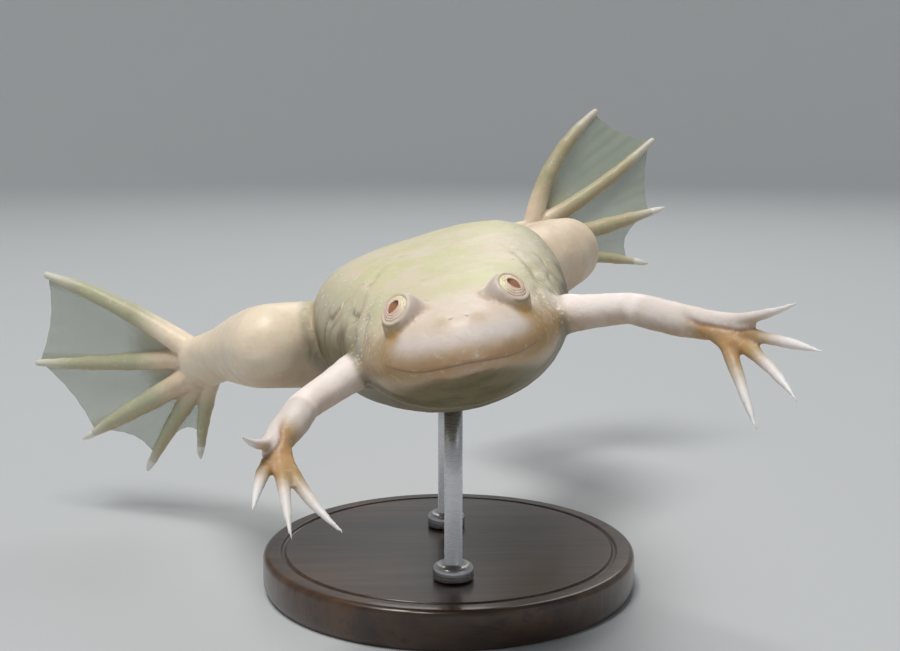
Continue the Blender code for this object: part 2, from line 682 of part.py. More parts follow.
def make_rod(name, place, top):
    """A rod with a turned collar at its foot, up into the body above it."""
    foot = BASE_THICKNESS + GAP
    profile = (
        (COLLAR_RADIUS, foot),
        (COLLAR_RADIUS, foot + COLLAR_HEIGHT * COLLAR_STRAIGHT),
        (ROD_RADIUS + COLLAR_STEP, foot + COLLAR_HEIGHT),
        (ROD_RADIUS, foot + COLLAR_HEIGHT),
        (ROD_RADIUS, top),
    )
    return turned_solid("stand_rod_" + name, profile, (0.0, place, 0.0), (0, 0, 1), ROD_SIDES)


def finish_piece(solid, material):
    solid.data.materials.clear()
    solid.data.materials.append(material)
    for current in list(solid.users_collection):
        current.objects.unlink(solid)
    frog.objects.link(solid)
    solid.data.shade_smooth()
    solid.data.set_sharp_from_angle(angle=SHARP_ANGLE)


def main():
    finishes = {name: make_material(name) for name in FINISHES}
    trunk = make_trunk()
    head = make_head()
    pieces = {trunk: "cream_skin", head: "cream_skin"}
    for side in ("left", "right"):
        pieces[eye_form("eye_" + side, side, 0.0)] = "eye"
        for piece in make_arm(side, (trunk, head)):
            pieces[piece] = "pink_skin"
        for piece in make_leg(side, (trunk,)):
            pieces[piece] = "claw_horn" if piece.name.startswith("claw") else "pink_skin"

    swimmer = bpy.data.objects.new("swimming_pose", None)
    frog.objects.link(swimmer)
    swimmer.location = (0, -BODY_MIDDLE * MM, SNOUT_HEIGHT * MM)
    swimmer.rotation_euler = (0, BANK_ANGLE, 0)
    for piece, finish in pieces.items():
        finish_piece(piece, finishes[finish])
        piece.parent = swimmer
    bpy.context.view_layer.update()

    body_clearance = grown_copy(trunk)
    body_clearance.data.transform(trunk.matrix_world)
    for name, place in RODS.items():
        rod = make_rod(name, place, SNOUT_HEIGHT)
        clearance = body_clearance.copy()
        cutters.objects.link(clearance)
        combine(rod, [clearance], "DIFFERENCE")
        finish_piece(rod, finishes["brushed_steel"])
    bpy.data.objects.remove(body_clearance)
    finish_piece(make_base(), finishes["dark_wood"])
    bpy.data.collections.remove(workshop)


for leftover in list(bpy.data.objects):
    bpy.data.objects.remove(leftover)
frog = make_collection("african_clawed_frog")
cutters = make_collection("cutters")
workshop = make_collection("workshop")
main()
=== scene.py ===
# %% [markdown]
# # An African clawed frog, swimming, on a display stand
# The model is a life-size museum animal: a pale, albino frog with its arms spread and its webbed
# feet behind it, held over a wooden base by two steel rods. The frame gives the sizes and the
# places. Every surface that shows is made again here, finer, from the same skeleton.

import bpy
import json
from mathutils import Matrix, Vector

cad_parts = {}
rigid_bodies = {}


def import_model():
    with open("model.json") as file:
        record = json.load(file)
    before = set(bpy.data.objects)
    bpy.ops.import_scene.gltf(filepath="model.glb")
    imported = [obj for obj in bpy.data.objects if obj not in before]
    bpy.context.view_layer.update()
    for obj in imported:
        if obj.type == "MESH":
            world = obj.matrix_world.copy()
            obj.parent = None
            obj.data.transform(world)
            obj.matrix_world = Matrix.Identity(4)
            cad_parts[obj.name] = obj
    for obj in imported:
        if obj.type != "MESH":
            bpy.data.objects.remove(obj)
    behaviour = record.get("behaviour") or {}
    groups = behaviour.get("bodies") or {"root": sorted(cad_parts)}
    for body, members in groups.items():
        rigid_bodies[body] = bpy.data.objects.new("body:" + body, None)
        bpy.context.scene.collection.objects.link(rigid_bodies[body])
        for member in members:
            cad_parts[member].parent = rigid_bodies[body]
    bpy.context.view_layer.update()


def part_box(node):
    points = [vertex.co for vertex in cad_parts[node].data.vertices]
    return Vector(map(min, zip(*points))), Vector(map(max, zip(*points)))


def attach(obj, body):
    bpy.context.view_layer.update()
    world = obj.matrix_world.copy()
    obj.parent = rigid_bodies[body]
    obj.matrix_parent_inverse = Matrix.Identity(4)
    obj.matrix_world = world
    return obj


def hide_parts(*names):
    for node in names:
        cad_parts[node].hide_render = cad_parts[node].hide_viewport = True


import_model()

# %% [markdown]
# ## Working space
# All flesh is drawn in millimetres in the animal's own frame: X to its left, Y backwards from the
# tip of the snout, Z up, with the mouth line near Z = 0. Real sizes are easy to read that way, and
# one function at the end banks the animal and lifts it over the stand.

# %% Units and the animal's place
import itertools
import json
import math

import bmesh
import bpy
import numpy as np
from mathutils import Matrix, Vector

MM = 0.001
BANK_ANGLE = math.radians(-10.8)
SNOUT_HEIGHT = 37.5
BODY_MIDDLE = 43.0
BODY_LENGTH = 64.0


def to_frame(points):
    """Animal's millimetres to metres in the frame: turned about Y by the bank, then shifted."""
    x, y, z = np.asarray(points, float).reshape(-1, 3).T
    c, s = math.cos(BANK_ANGLE), math.sin(BANK_ANGLE)
    placed = (x * c + z * s, y - BODY_MIDDLE, z * c - x * s + SNOUT_HEIGHT)
    return np.column_stack(placed) * MM


print("snout tip in the frame:", to_frame((0, 0, 0)).round(4))

# %% [markdown]
# ## Small tools
# A smooth curve through a few knots carries every outline. Limbs are profiles carried along such
# curves, and all of them are closed surfaces whose ends draw in to a pole.


# %% Curves, unit vectors and soft steps
def unit(vector):
    """The vector divided by its length."""
    vector = np.asarray(vector, float)
    return vector / np.linalg.norm(vector, axis=-1, keepdims=True)


def smooth_curve(knots, values, at):
    """Cubic Hermite through the knots: each slope is the mean of its neighbours' slopes."""
    knots = np.asarray(knots, float)
    values = np.asarray(values, float).reshape(len(knots), -1)
    at = np.clip(np.asarray(at, float), knots[0], knots[-1])
    slopes = np.gradient(values, knots, axis=0)
    index = np.clip(np.searchsorted(knots, at, side="right") - 1, 0, len(knots) - 2)
    width = (knots[index + 1] - knots[index])[..., None]
    part = (at - knots[index])[..., None] / width
    end_share = part * part * (3 - 2 * part)
    start_slope = part * (1 - part) ** 2 * width * slopes[index]
    end_slope = part * part * (part - 1) * width * slopes[index + 1]
    return (1 - end_share) * values[index] + end_share * values[index + 1] + start_slope + end_slope


def soft_step(value, low, high):
    """0 below low, 1 above high, and 3t² - 2t³ between."""
    part = np.clip((np.asarray(value, float) - low) / (high - low), 0, 1)
    return part * part * (3 - 2 * part)


def fade(value, low, high):
    """The other way round: 1 below low, 0 above high."""
    return 1 - soft_step(value, low, high)


def bell(distance, width):
    """1 at no distance, falling as exp(-(distance / width)²)."""
    return np.exp(-((distance / width) ** 2))


print("a bell is", round(float(bell(1.0, 1.0)), 3), "high at its own width")

# %% Distance and smooth noise
def distance_to(points, place):
    """How far each point is from the place."""
    return np.linalg.norm(points - place, axis=1)


def soft_noise(points, size, seed):
    """Smooth random values, about -1 to 1: a lattice of random numbers, size apart, read between
    its corners with the weight 3t² - 2t³ on each axis."""
    lattice = np.random.default_rng(seed).uniform(-1, 1, (32, 32, 32))
    place = np.asarray(points) / size
    cell = np.floor(place).astype(int)
    part = place - cell
    part = part * part * (3 - 2 * part)
    total = np.zeros(len(place))
    for corner in itertools.product((0, 1), repeat=3):
        index = (cell + corner) % 32
        weight = np.prod(np.where(corner, part, 1 - part), axis=1)
        total += weight * lattice[index[:, 0], index[:, 1], index[:, 2]]
    return total


print("noise at three points:", soft_noise(np.eye(3), 2.0, 3).round(2))

# %% Closed surfaces
def closed_grid(grid):
    """Points, quads and triangles of a closed surface. grid[row, column] closes round along the
    columns, and the first and last rows close to a pole in their own middle."""
    rows, columns = grid.shape[:2]
    index = np.arange(rows * columns).reshape(rows, columns)
    after = np.roll(index, -1, axis=1)
    quads = np.stack((index[:-1], after[:-1], after[1:], index[1:]), axis=-1).reshape(-1, 4)
    first, last = rows * columns, rows * columns + 1
    start = np.stack((after[0], index[0], np.full(columns, first)), axis=-1)
    end = np.stack((index[-1], after[-1], np.full(columns, last)), axis=-1)
    poles = np.stack((grid[0].mean(axis=0), grid[-1].mean(axis=0)))
    points = np.concatenate((grid.reshape(-1, 3), poles))
    triangles = np.concatenate((start, end))
    a, b, c = points[triangles].transpose(1, 0, 2)
    d, e, f, g = points[quads].transpose(1, 0, 2)
    volume = np.einsum("ij,ij->", a, np.cross(b, c)) + np.einsum("ij,ij->", d, np.cross(e, f))
    volume += np.einsum("ij,ij->", d, np.cross(f, g))
    if volume < 0:
        quads, triangles = quads[:, ::-1], triangles[:, ::-1]
    return points, quads, triangles


prism = np.array([[(1, 0, z), (0, 1, z), (-1, 0, z)] for z in (0, 1)], float)
print("a prism's points, quads and triangles:", [len(part) for part in closed_grid(prism)])

# %% Objects out of surfaces
def add_object(name, data):
    """A new object in the scene that shows the data."""
    made = bpy.data.objects.new(name, data)
    bpy.context.scene.collection.objects.link(made)
    return made


def mesh_from_surfaces(name, surfaces):
    """One object out of several closed surfaces, their points as they are given."""
    points, faces, count = [], [], 0
    for corner_points, quads, triangles in surfaces:
        points.append(corner_points)
        faces += (quads + count).tolist() + (triangles + count).tolist()
        count += len(corner_points)
    mesh = bpy.data.meshes.new(name)
    mesh.from_pydata(np.concatenate(points).tolist(), [], faces)
    return add_object(name, mesh)


# %% Numbers into and out of meshes
def read_points(mesh):
    """The mesh's vertices as an array of rows x, y, z."""
    flat = np.empty(len(mesh.vertices) * 3, np.float32)
    mesh.vertices.foreach_get("co", flat)
    return flat.reshape(-1, 3).astype(float)


def write_points(mesh, points):
    """The rows x, y, z back into the mesh."""
    mesh.vertices.foreach_set("co", np.asarray(points, np.float32).ravel())
    mesh.update()


def read_normals(mesh):
    """The vertices' normals as rows x, y, z."""
    flat = np.empty(len(mesh.vertices) * 3, np.float32)
    mesh.vertex_normals.foreach_get("vector", flat)
    return flat.reshape(-1, 3).astype(float)


def set_attribute(mesh, name, values):
    """A number on each vertex, which a material can read by its name."""
    attribute = mesh.attributes.new(name, "FLOAT", "POINT")
    attribute.data.foreach_set("value", np.asarray(values, np.float32))


def set_uv(mesh, uv):
    """A UV map out of the pairs u, v of the vertices."""
    corners = np.empty(len(mesh.loops), int)
    mesh.loops.foreach_get("vertex_index", corners)
    layer = mesh.uv_layers.new(name="UVMap")
    layer.data.foreach_set("uv", uv[corners].astype(np.float32).ravel())


def apply_modifiers(made):
    """The object's mesh becomes what its modifiers make of it."""
    graph = bpy.context.evaluated_depsgraph_get()
    finished = bpy.data.meshes.new_from_object(made.evaluated_get(graph))
    made.modifiers.clear()
    made.data = finished


print("meshes so far:", len(bpy.data.meshes))

# %% A profile carried along a path
ROUND_END = np.radians((12, 26, 40, 54, 66, 77, 85))


def round_end(ring, middle, outward, radius):
    """Rings from a limb's last ring to its pole: they shrink as cos u and move on by r · sin u."""
    return np.array([middle + (ring - middle) * math.cos(u) + outward * radius * math.sin(u)
                     for u in ROUND_END])


def sweep(points, radii, rows=40, sides=28, upright=(0, 0, 1), flatness=1.0, swell=None):
    """A limb: centre(t) + r(t) · swell(t, a) · (cos a · across + flatness · sin a · raised), where
    the centre follows a smooth curve through the points. Both ends are round."""
    points = np.asarray(points, float)
    lengths = np.concatenate(([0], np.cumsum(np.linalg.norm(np.diff(points, axis=0), axis=1))))
    t = np.linspace(0, 1, rows)
    centre = smooth_curve(lengths, points, t * lengths[-1])
    radius = smooth_curve(np.linspace(0, 1, len(radii)), radii, t)[:, 0]
    ahead = unit(np.gradient(centre, axis=0))
    across = unit(np.cross(ahead, np.asarray(upright, float)))
    raised = np.cross(across, ahead)
    angle = np.linspace(0, 2 * np.pi, sides, endpoint=False)
    size = radius[:, None] * (1 if swell is None else swell(t[:, None], angle[None, :]))
    round_x = (size * np.cos(angle))[..., None] * across[:, None]
    round_z = (size * np.sin(angle) * flatness)[..., None] * raised[:, None]
    grid = centre[:, None] + round_x + round_z
    start = round_end(grid[0], centre[0], -ahead[0], radius[0])[::-1]
    end = round_end(grid[-1], centre[-1], ahead[-1], radius[-1])
    return closed_grid(np.concatenate((start, grid, end)))


def bowed_line(start, end, bow, at):
    """start + t (end - start) + 4 t (1 - t) bow."""
    at = np.asarray(at, float)[:, None]
    start = np.asarray(start, float)
    return start + at * (np.asarray(end) - start) + 4 * at * (1 - at) * np.asarray(bow)


print("each round end adds", len(ROUND_END), "rings")

# %% [markdown]
# ## The body
# A clawed frog's body is a flattened drop: a low wedge of a head without a neck, a broad back that
# is almost a plateau, and a fuller belly. One loft carries it from the snout to the vent. Its
# section is a superellipse, flatter on the back than on the belly. Towards the rear it is rolled
# a few degrees and its middle moves to the frog's right, because the frog turns as it swims.

# %% Outline of the body
# Distance, half width, back, belly, widest level, fullness of the back, roll and middle
BODY_STATIONS = np.array((
    (0.0, 0.0, 0.0, 0.0, 0.0, 2.1, 0.0, 0.0),
    (0.6, 2.8, 2.4, -1.0, 0.0, 2.1, 0.0, 0.0),
    (1.7, 4.6, 3.8, -1.8, 0.0, 2.1, 0.0, 0.0),
    (3.6, 6.4, 4.5, -2.9, -0.1, 2.2, 0.0, 0.0),
    (6.6, 8.3, 5.0, -4.4, -0.3, 2.2, 0.0, 0.0),
    (10.5, 9.9, 5.7, -6.3, -0.5, 2.2, 0.0, 0.0),
    (16.0, 11.5, 6.5, -8.3, -0.9, 2.3, 0.0, -0.2),
    (22.0, 13.1, 7.1, -9.7, -1.1, 2.5, -0.6, -0.6),
    (29.0, 14.7, 7.8, -10.6, -1.2, 2.9, -2.2, -1.1),
    (37.0, 15.4, 8.2, -10.7, -1.2, 3.3, -4.2, -1.5),
    (45.0, 15.1, 8.1, -9.7, -1.0, 3.3, -5.6, -1.6),
    (52.0, 13.6, 7.4, -8.1, -0.7, 2.9, -6.0, -1.4),
    (57.5, 10.9, 5.8, -6.4, -0.5, 2.6, -6.0, -1.0),
    (61.5, 7.1, 3.7, -4.3, -0.4, 2.3, -6.0, -0.6),
    (63.5, 3.3, 1.8, -2.2, -0.3, 2.1, -6.0, -0.3),
    (64.0, 0.0, -0.3, -0.3, -0.3, 2.1, -6.0, -0.2),
))
BODY_KNOTS = np.arccos(1 - 2 * BODY_STATIONS[:, 0] / BODY_LENGTH)
BELLY_FULLNESS = 1.95


def body_outline(distance):
    """The seven values of a station at any distance, read at arccos(1 - 2 s / length), which
    spaces the round ends."""
    turn = np.arccos(1 - 2 * distance / BODY_LENGTH)
    return np.moveaxis(smooth_curve(BODY_KNOTS, BODY_STATIONS[:, 1:], turn), -1, 0)


def body_point(distance, angle):
    """The body's skin: x = w |cos a|^(2/n) and z = side + h |sin a|^(2/n), each with its sign, then
    rolled."""
    distance, angle = np.broadcast_arrays(np.asarray(distance, float), np.asarray(angle, float))
    width, back, belly, side, fullness, roll, middle = body_outline(distance)
    power = 2 / np.where(np.sin(angle) > 0, fullness, BELLY_FULLNESS)
    height = np.where(np.sin(angle) > 0, back - side, side - belly)
    across = width * np.sign(np.cos(angle)) * np.abs(np.cos(angle)) ** power
    level = side + height * np.sign(np.sin(angle)) * np.abs(np.sin(angle)) ** power
    c, s = np.cos(np.radians(roll)), np.sin(np.radians(roll))
    return np.stack((middle + across * c + level * s, distance, level * c - across * s), axis=-1)


print("middle of the back:", body_point(32.0, np.pi / 2).round(2))

# %% Loft the body
BODY_ROWS, BODY_COLUMNS = 220, 200
turns = np.linspace(0, np.pi, BODY_ROWS + 2)[1:-1]
distances = BODY_LENGTH * (1 - np.cos(turns)) / 2
around = np.linspace(0, 2 * np.pi, BODY_COLUMNS, endpoint=False)
flesh = {"body": [closed_grid(body_point(distances[:, None], around[None, :]))]}
print("body loft:", BODY_ROWS, "by", BODY_COLUMNS)

# %% [markdown]
# ## The arms
# Along the back of the forearm runs a pale ridge that becomes the outer finger without a break.
# The other fingers hang from the hollow palm below it. The ridge is one swept form from the forearm
# to the fingertip, so that it flows as on the animal, and the others are cones from inside the palm.

# %% Where the arms lie
ARMS = {
    "left": {
        "shoulder": (8.6, 18.5, -0.2), "elbow": (17.5, 8.5, 0.6), "wrist": (23.4, 0.0, -1.1),
        "knuckles": ((25.7, -2.8, -0.4), (25.9, -3.1, -1.5), (25.5, -3.2, -2.4), (24.3, -2.9, -2.6)),
        "fingertips": ((30.0, -9.1, 1.4), (31.1, -11.5, -3.0), (27.9, -11.9, -6.9), (24.4, -9.4, -9.3)),
        "finger_bow": ((0.0, 0.0, -0.2), (0.0, 0.0, 0.0), (0.2, 0.0, 0.3), (0.05, 0.0, 0.0)),
        "back_of_arm": (0.10, -0.25, 0.97),
    },
    "right": {
        "shoulder": (-8.6, 18.5, -0.9), "elbow": (-17.0, 7.8, -2.7), "wrist": (-18.9, -1.6, -3.5),
        "knuckles": ((-20.1, -4.0, -3.1), (-20.3, -4.4, -4.8), (-19.0, -4.6, -5.2), (-18.5, -4.5, -5.1)),
        "fingertips": ((-21.4, -8.6, -1.0), (-21.4, -12.1, -7.0), (-18.5, -12.5, -10.0),
                       (-14.1, -11.0, -10.8)),
        "finger_bow": ((0.0, 0.0, -0.3), (0.0, -0.3, 0.2), (0.0, -0.3, 0.3), (-0.4, -0.2, -0.1)),
        "back_of_arm": (-0.75, 0.0, 0.66),
    },
}
UPPER_ARM_RADII = (3.4, 2.4, 1.95, 1.75, 1.65)
FOREARM_RADII = (1.65, 1.72, 1.68, 1.6, 1.5)
RIDGE_RADII = (1.0, 1.2, 1.15, 0.96, 0.72, 0.62, 0.5, 0.34, 0.13)
RIDGE_START, RIDGE_RISE = 0.45, 0.75
FINGER_OVERLAP = 0.4
PALM_RADII = (1.45, 1.4, 1.1)
PALM_FLATNESS = 0.8
FINGER_RADII = (0.92, 0.84, 0.75, 0.67, 0.58, 0.47, 0.32, 0.13)
print("arms:", list(ARMS))

# %% Forms of the arms
def limb_places(limb, *names):
    """The named places of an arm or a leg as arrays."""
    return [np.array(limb[name]) for name in names]


def palm_end(arm):
    """The middle of the knuckles of the three fingers below the ridge."""
    return np.mean(arm["knuckles"][1:], axis=0)


def finger_line(arm, finger, at):
    """Points on a finger from its knuckle to its tip."""
    return bowed_line(arm["knuckles"][finger], arm["fingertips"][finger], arm["finger_bow"][finger], at)


def ridge_line(arm):
    """From the middle of the forearm over the wrist's back and on along the outer finger."""
    elbow, wrist = limb_places(arm, "elbow", "wrist")
    back = unit(arm["back_of_arm"])
    start = [elbow + (wrist - elbow) * RIDGE_START + back * 0.4, wrist + back * RIDGE_RISE]
    return np.concatenate((start, finger_line(arm, 0, np.linspace(0, 1, 6))))


def arm_surfaces(arm):
    """Upper arm and forearm; the ridge over the back of the forearm that becomes the outer finger;
    the palm below it; and three fingers, each a cone that starts inside the palm."""
    shoulder, elbow, wrist = limb_places(arm, "shoulder", "elbow", "wrist")
    back = unit(arm["back_of_arm"])
    surfaces = [sweep((shoulder, elbow), UPPER_ARM_RADII, 24, 32)]
    surfaces.append(sweep((elbow, (elbow + wrist) / 2, wrist), FOREARM_RADII, 24, 32, back))
    surfaces.append(sweep(ridge_line(arm), RIDGE_RADII, 70, 24, back))
    surfaces.append(sweep((wrist, palm_end(arm)), PALM_RADII, 12, 28, back, PALM_FLATNESS))
    for finger in (1, 2, 3):
        line = finger_line(arm, finger, np.linspace(0, 1, 8))
        root = wrist + (line[0] - wrist) * FINGER_OVERLAP
        surfaces.append(sweep(np.concatenate(([root], line)), FINGER_RADII, 52, 20))
    return surfaces


flesh["arms"] = [surface for arm in ARMS.values() for surface in arm_surfaces(arm)]
print("arm forms:", len(flesh["arms"]))

# %% [markdown]
# ## The legs
# The hind legs are the swimmer's engine: a thick thigh, a full calf that narrows to the ankle, a
# flat sole, and five long toes that spread the web. The frog's left leg is folded behind the body,
# so that only the knee and the spread foot show from the front.

# %% Where the legs lie
LEGS = {
    "left": {
        "hip": (6.5, 56.0, -0.6), "knee": (18.9, 77.0, -1.8), "ankle": (7.0, 99.0, -3.8),
        "sole": (14.6, 105.4, -2.8),
        "toe_roots": ((13.4, 105.7, -6.1), (13.8, 105.5, -4.6), (14.2, 105.4, -3.2),
                      (14.7, 105.3, -1.2), (17.4, 105.8, -0.2)),
        "toe_tips": ((23.0, 112.0, -12.6), (35.5, 106.4, -10.4), (40.0, 106.9, -1.6),
                     (40.3, 108.4, 10.0), (31.6, 109.4, 16.6)),
        "toe_bow": ((0.4, 0.0, 0.6), (0.2, 0.0, 0.6), (0.0, 0.0, -0.4), (0.6, 0.0, -1.0),
                    (-1.7, 0.0, 1.0)),
    },
    "right": {
        "hip": (-7.5, 54.0, -5.0), "knee": (-22.6, 38.0, -0.9), "ankle": (-31.3, 60.6, -4.3),
        "sole": (-36.7, 67.8, -6.2),
        "toe_roots": ((-35.2, 67.5, -8.2), (-35.8, 67.6, -7.5), (-37.0, 67.7, -7.4),
                      (-37.1, 68.0, -5.3), (-38.1, 68.2, -3.5)),
        "toe_tips": ((-40.3, 71.9, -20.8), (-49.2, 75.7, -22.0), (-57.9, 77.2, -15.7),
                     (-62.6, 79.4, -3.3), (-57.2, 75.7, 9.8)),
        "toe_bow": ((-0.4, 0.0, 0.0), (-0.35, 0.0, 0.1), (0.0, 0.0, 0.0), (0.0, 0.0, -0.3),
                    (0.2, 0.0, 0.8)),
    },
}
THIGH_RADII = (4.4, 5.3, 5.5, 5.2)
SHANK_RADII = (5.2, 5.2, 4.9, 4.4, 3.9)
TARSUS_RADII = (3.9, 3.8, 3.9)
SOLE_FLATNESS = 0.68
TOE_RADII = (1.3, 1.12, 0.96, 0.76, 0.42)
TOE_HALF_THICKNESS = (1.1, 1.25, 1.52, 1.24, 1.36)
# Place along the toe and rise
TOE_JOINTS = ((0.42, 0.07), (0.66, 0.08), (0.84, 0.07))
TOE_JOINT_WIDTH = 0.035
CALF_FULLNESS = 0.06
THIGH_SAG = np.array((0.0, 0.0, -0.5))
CLAWED_TOES = 3
CLAW_LENGTH = 2.0
CLAW_ROOT_RADIUS = 0.6
print("legs:", list(LEGS))

# %% Lines of the feet
def foot_normal(leg):
    """Square to the spread foot, on the side that faces forwards."""
    tips, sole = limb_places(leg, "toe_tips", "sole")
    normal = unit(np.cross(tips[-1] - sole, tips[0] - sole))
    return -normal if normal[1] > 0 else normal


def toe_line(leg, toe, at):
    """Points along one toe, from inside the sole to its tip."""
    return bowed_line(leg["toe_roots"][toe], leg["toe_tips"][toe], leg["toe_bow"][toe], at)


def skin_share(leg, toe):
    """The share of a toe's length that is skin, the rest being claw."""
    whole = toe_line(leg, toe, (0.0, 1.0))
    claw = CLAW_LENGTH if toe < CLAWED_TOES else 0.0
    return 1 - claw / np.linalg.norm(whole[1] - whole[0])


print("skin on the inner toes:", [round(float(skin_share(leg, 0)), 2) for leg in LEGS.values()])

# %% Forms of the legs
def joint_swell(t, angle):
    """1, and a little more at each toe joint: the sum of bells along the toe."""
    return 1 + sum(rise * bell(t - place, TOE_JOINT_WIDTH) for place, rise in TOE_JOINTS) + 0 * angle


def calf_swell(t, angle):
    """The calf is fuller on one side: 1 + fullness sin(pi t) cos(a)."""
    return 1 + CALF_FULLNESS * np.sin(np.pi * t) * np.cos(angle)


def leg_surfaces(leg):
    """Thigh, shank with its calf, the flat sole and five toes, each as long as its skin."""
    hip, knee, ankle, sole = limb_places(leg, "hip", "knee", "ankle", "sole")
    normal = foot_normal(leg)
    surfaces = [
        sweep((hip, (hip + knee) / 2 + THIGH_SAG, knee), THIGH_RADII, 40, 48),
        sweep((knee, ankle), SHANK_RADII, 40, 44, swell=calf_swell),
        sweep((ankle, sole), TARSUS_RADII, 20, 36, normal, SOLE_FLATNESS),
    ]
    for toe, thickness in enumerate(TOE_HALF_THICKNESS):
        line = toe_line(leg, toe, np.linspace(0, skin_share(leg, toe), 12))
        radii = np.array(TOE_RADII) * thickness
        if toe < CLAWED_TOES:
            radii[-1] = CLAW_ROOT_RADIUS + 0.05
        surfaces.append(sweep(line, radii, 70, 24, normal, swell=joint_swell))
    return surfaces


flesh["legs"] = [surface for leg in LEGS.values() for surface in leg_surfaces(leg)]
print("leg forms:", len(flesh["legs"]))

# %% [markdown]
# ## Forms of the head
# The eyes sit on low turrets on top of the head and look up and forwards. Each turret is a turned
# form about the line of sight. A short tentacle stands under each eye, which the species keeps
# from its tadpole days. The mouth's line is worked out here too, for the detail that follows.

# %% Eyes, tentacles and the mouth's height
EYE_MIDDLE = np.array((5.40, 7.47, 4.67))
EYE_GAZE = unit((0.54, -0.52, 0.66))
EYE_RADIUS, EYE_DEPTH, EYE_LEVEL = 1.88, 1.0, 0.6
# Radius, and height along the line of sight
TURRET_PROFILE = ((2.3, -2.2), (2.26, -1.2), (2.22, -0.3), (2.18, 0.5), (2.04, 0.95), (1.88, 1.16),
                  (1.5, 1.2))
TENTACLE_ROOT, TENTACLE_TIP = (5.5, 4.8, 2.6), (5.85, 4.25, 2.75)
TENTACLE_RADII = (0.4, 0.3, 0.22)
# Distance from the middle of the face, and height
MOUTH_HEIGHT = ((0.0, -0.08), (2.4, -0.27), (4.8, -0.50), (6.5, -0.40), (8.2, -0.05), (9.6, 0.30))
MOUTH_CORNER = 9.2
SIDES = ("left", "right")


def mirrored(point, side):
    """A point of the left side, or its mirror image on the right."""
    return np.asarray(point, float) * (1 if side == "left" else -1, 1, 1)


def eye_axes(side):
    """The line of sight and the two axes of the eye's face: the pupil's long one, and the other."""
    gaze = mirrored(EYE_GAZE, side)
    long_axis = unit(np.cross(gaze, (0.0, 0.985, -0.17)))
    if long_axis[2] < 0:
        long_axis = -long_axis
    return gaze, long_axis, np.cross(gaze, long_axis)


print("the left eye looks along", mirrored(EYE_GAZE, "left").round(2))

# %% Turned forms and the mouth's line
def turned(profile, middle, gaze, long_axis, other, columns=40):
    """A profile of radius and height turned about the line of sight."""
    knots = np.linspace(0, 1, len(profile))
    radius, height = smooth_curve(knots, profile, np.linspace(0, 1, 24)).T
    angle = np.linspace(0, 2 * np.pi, columns, endpoint=False)
    ring = np.cos(angle)[:, None] * long_axis + np.sin(angle)[:, None] * other
    grid = middle + height[:, None, None] * gaze + radius[:, None, None] * ring[None]
    return closed_grid(grid)


def mouth_line(inset, rise, count):
    """The mouth from corner to corner round the snout: the widest line of the head, moved in
    towards the middle of the head by the inset, at the mouth's own height plus the rise."""
    turn = np.linspace(-1, 1, count)
    distance = np.maximum(MOUTH_CORNER * turn**2, 0.02)
    line = body_point(distance, np.where(turn > 0, 0.0, np.pi))
    inward = unit((0, MOUTH_CORNER, 0) - line * (1, 1, 0))
    height = smooth_curve(*np.array(MOUTH_HEIGHT).T, np.abs(line[:, 0]))[:, 0]
    line[:, 2] = height + rise
    return line + inward * inset


print("mouth from corner to corner:", mouth_line(0, 0, 3).round(1).tolist())

# %% Make the head's forms
head_forms = []
for side in SIDES:
    gaze, long_axis, other = eye_axes(side)
    head_forms.append(turned(TURRET_PROFILE, mirrored(EYE_MIDDLE, side), gaze, long_axis, other))
    tentacle = (mirrored(TENTACLE_ROOT, side), mirrored(TENTACLE_TIP, side))
    head_forms.append(sweep(tentacle, TENTACLE_RADII, 12, 16))
flesh["head"] = head_forms
print("head forms:", len(head_forms))

# %% [markdown]
# ## One skin over all of it
# A real frog has one skin. The forms are gathered into one mesh and remeshed as a volume, which
# keeps only the outside of their union, in even faces. The seams where limbs meet the body are
# then relaxed, each over its own reach, so that an armpit is soft and a fingertip stays sharp.

# %% Gather and remesh
SKIN_FACE = 0.24

skin = mesh_from_surfaces("skin", [surface for group in flesh.values() for surface in group])
remesh = skin.modifiers.new("one surface", "REMESH")
remesh.mode = "VOXEL"
remesh.voxel_size = SKIN_FACE
apply_modifiers(skin)
print("remeshed skin:", len(skin.data.vertices), "vertices")

# %% Where the joins are
SEAM_PASSES, SKIN_PASSES, SKIN_RELAX = 60, 6, 0.5
RELAX_STEPS = 40

# Each join has its place, reach and strength
JOINS = []
for arm in ARMS.values():
    shoulder, elbow, wrist = limb_places(arm, "shoulder", "elbow", "wrist")
    JOINS += [(shoulder + (elbow - shoulder) * 0.28, 4.2, 1.0), (elbow, 2.4, 0.8), (wrist, 1.6, 0.45)]
    JOINS += [(np.array(knuckle), 1.1, 0.3) for knuckle in arm["knuckles"]]
for leg in LEGS.values():
    hip, knee, ankle, sole = limb_places(leg, "hip", "knee", "ankle", "sole")
    JOINS += [(hip + (knee - hip) * 0.3, 8.0, 1.0), (knee, 5.5, 0.9), (ankle, 4.0, 0.9), (sole, 3.4, 0.6)]
for side in SIDES:
    JOINS.append((mirrored(EYE_MIDDLE, side), 2.2, 0.3))
    JOINS.append((mirrored(TENTACLE_TIP, side), 1.1, 0.4))


print("joins:", len(JOINS))

# %% Relax the skin at the joins
def relax(made, weights, passes):
    """Blender's Smooth, held to the vertices' weights."""
    group = made.vertex_groups.new(name="relax")
    levels = np.round(np.clip(weights, 0, 1) * RELAX_STEPS).astype(int)
    for level in range(1, RELAX_STEPS + 1):
        chosen = np.flatnonzero(levels == level)
        if len(chosen):
            group.add(chosen.tolist(), level / RELAX_STEPS, "REPLACE")
    smooth = made.modifiers.new("relax", "SMOOTH")
    smooth.factor = 0.5
    smooth.iterations = passes
    smooth.vertex_group = group.name
    apply_modifiers(made)
    made.vertex_groups.clear()


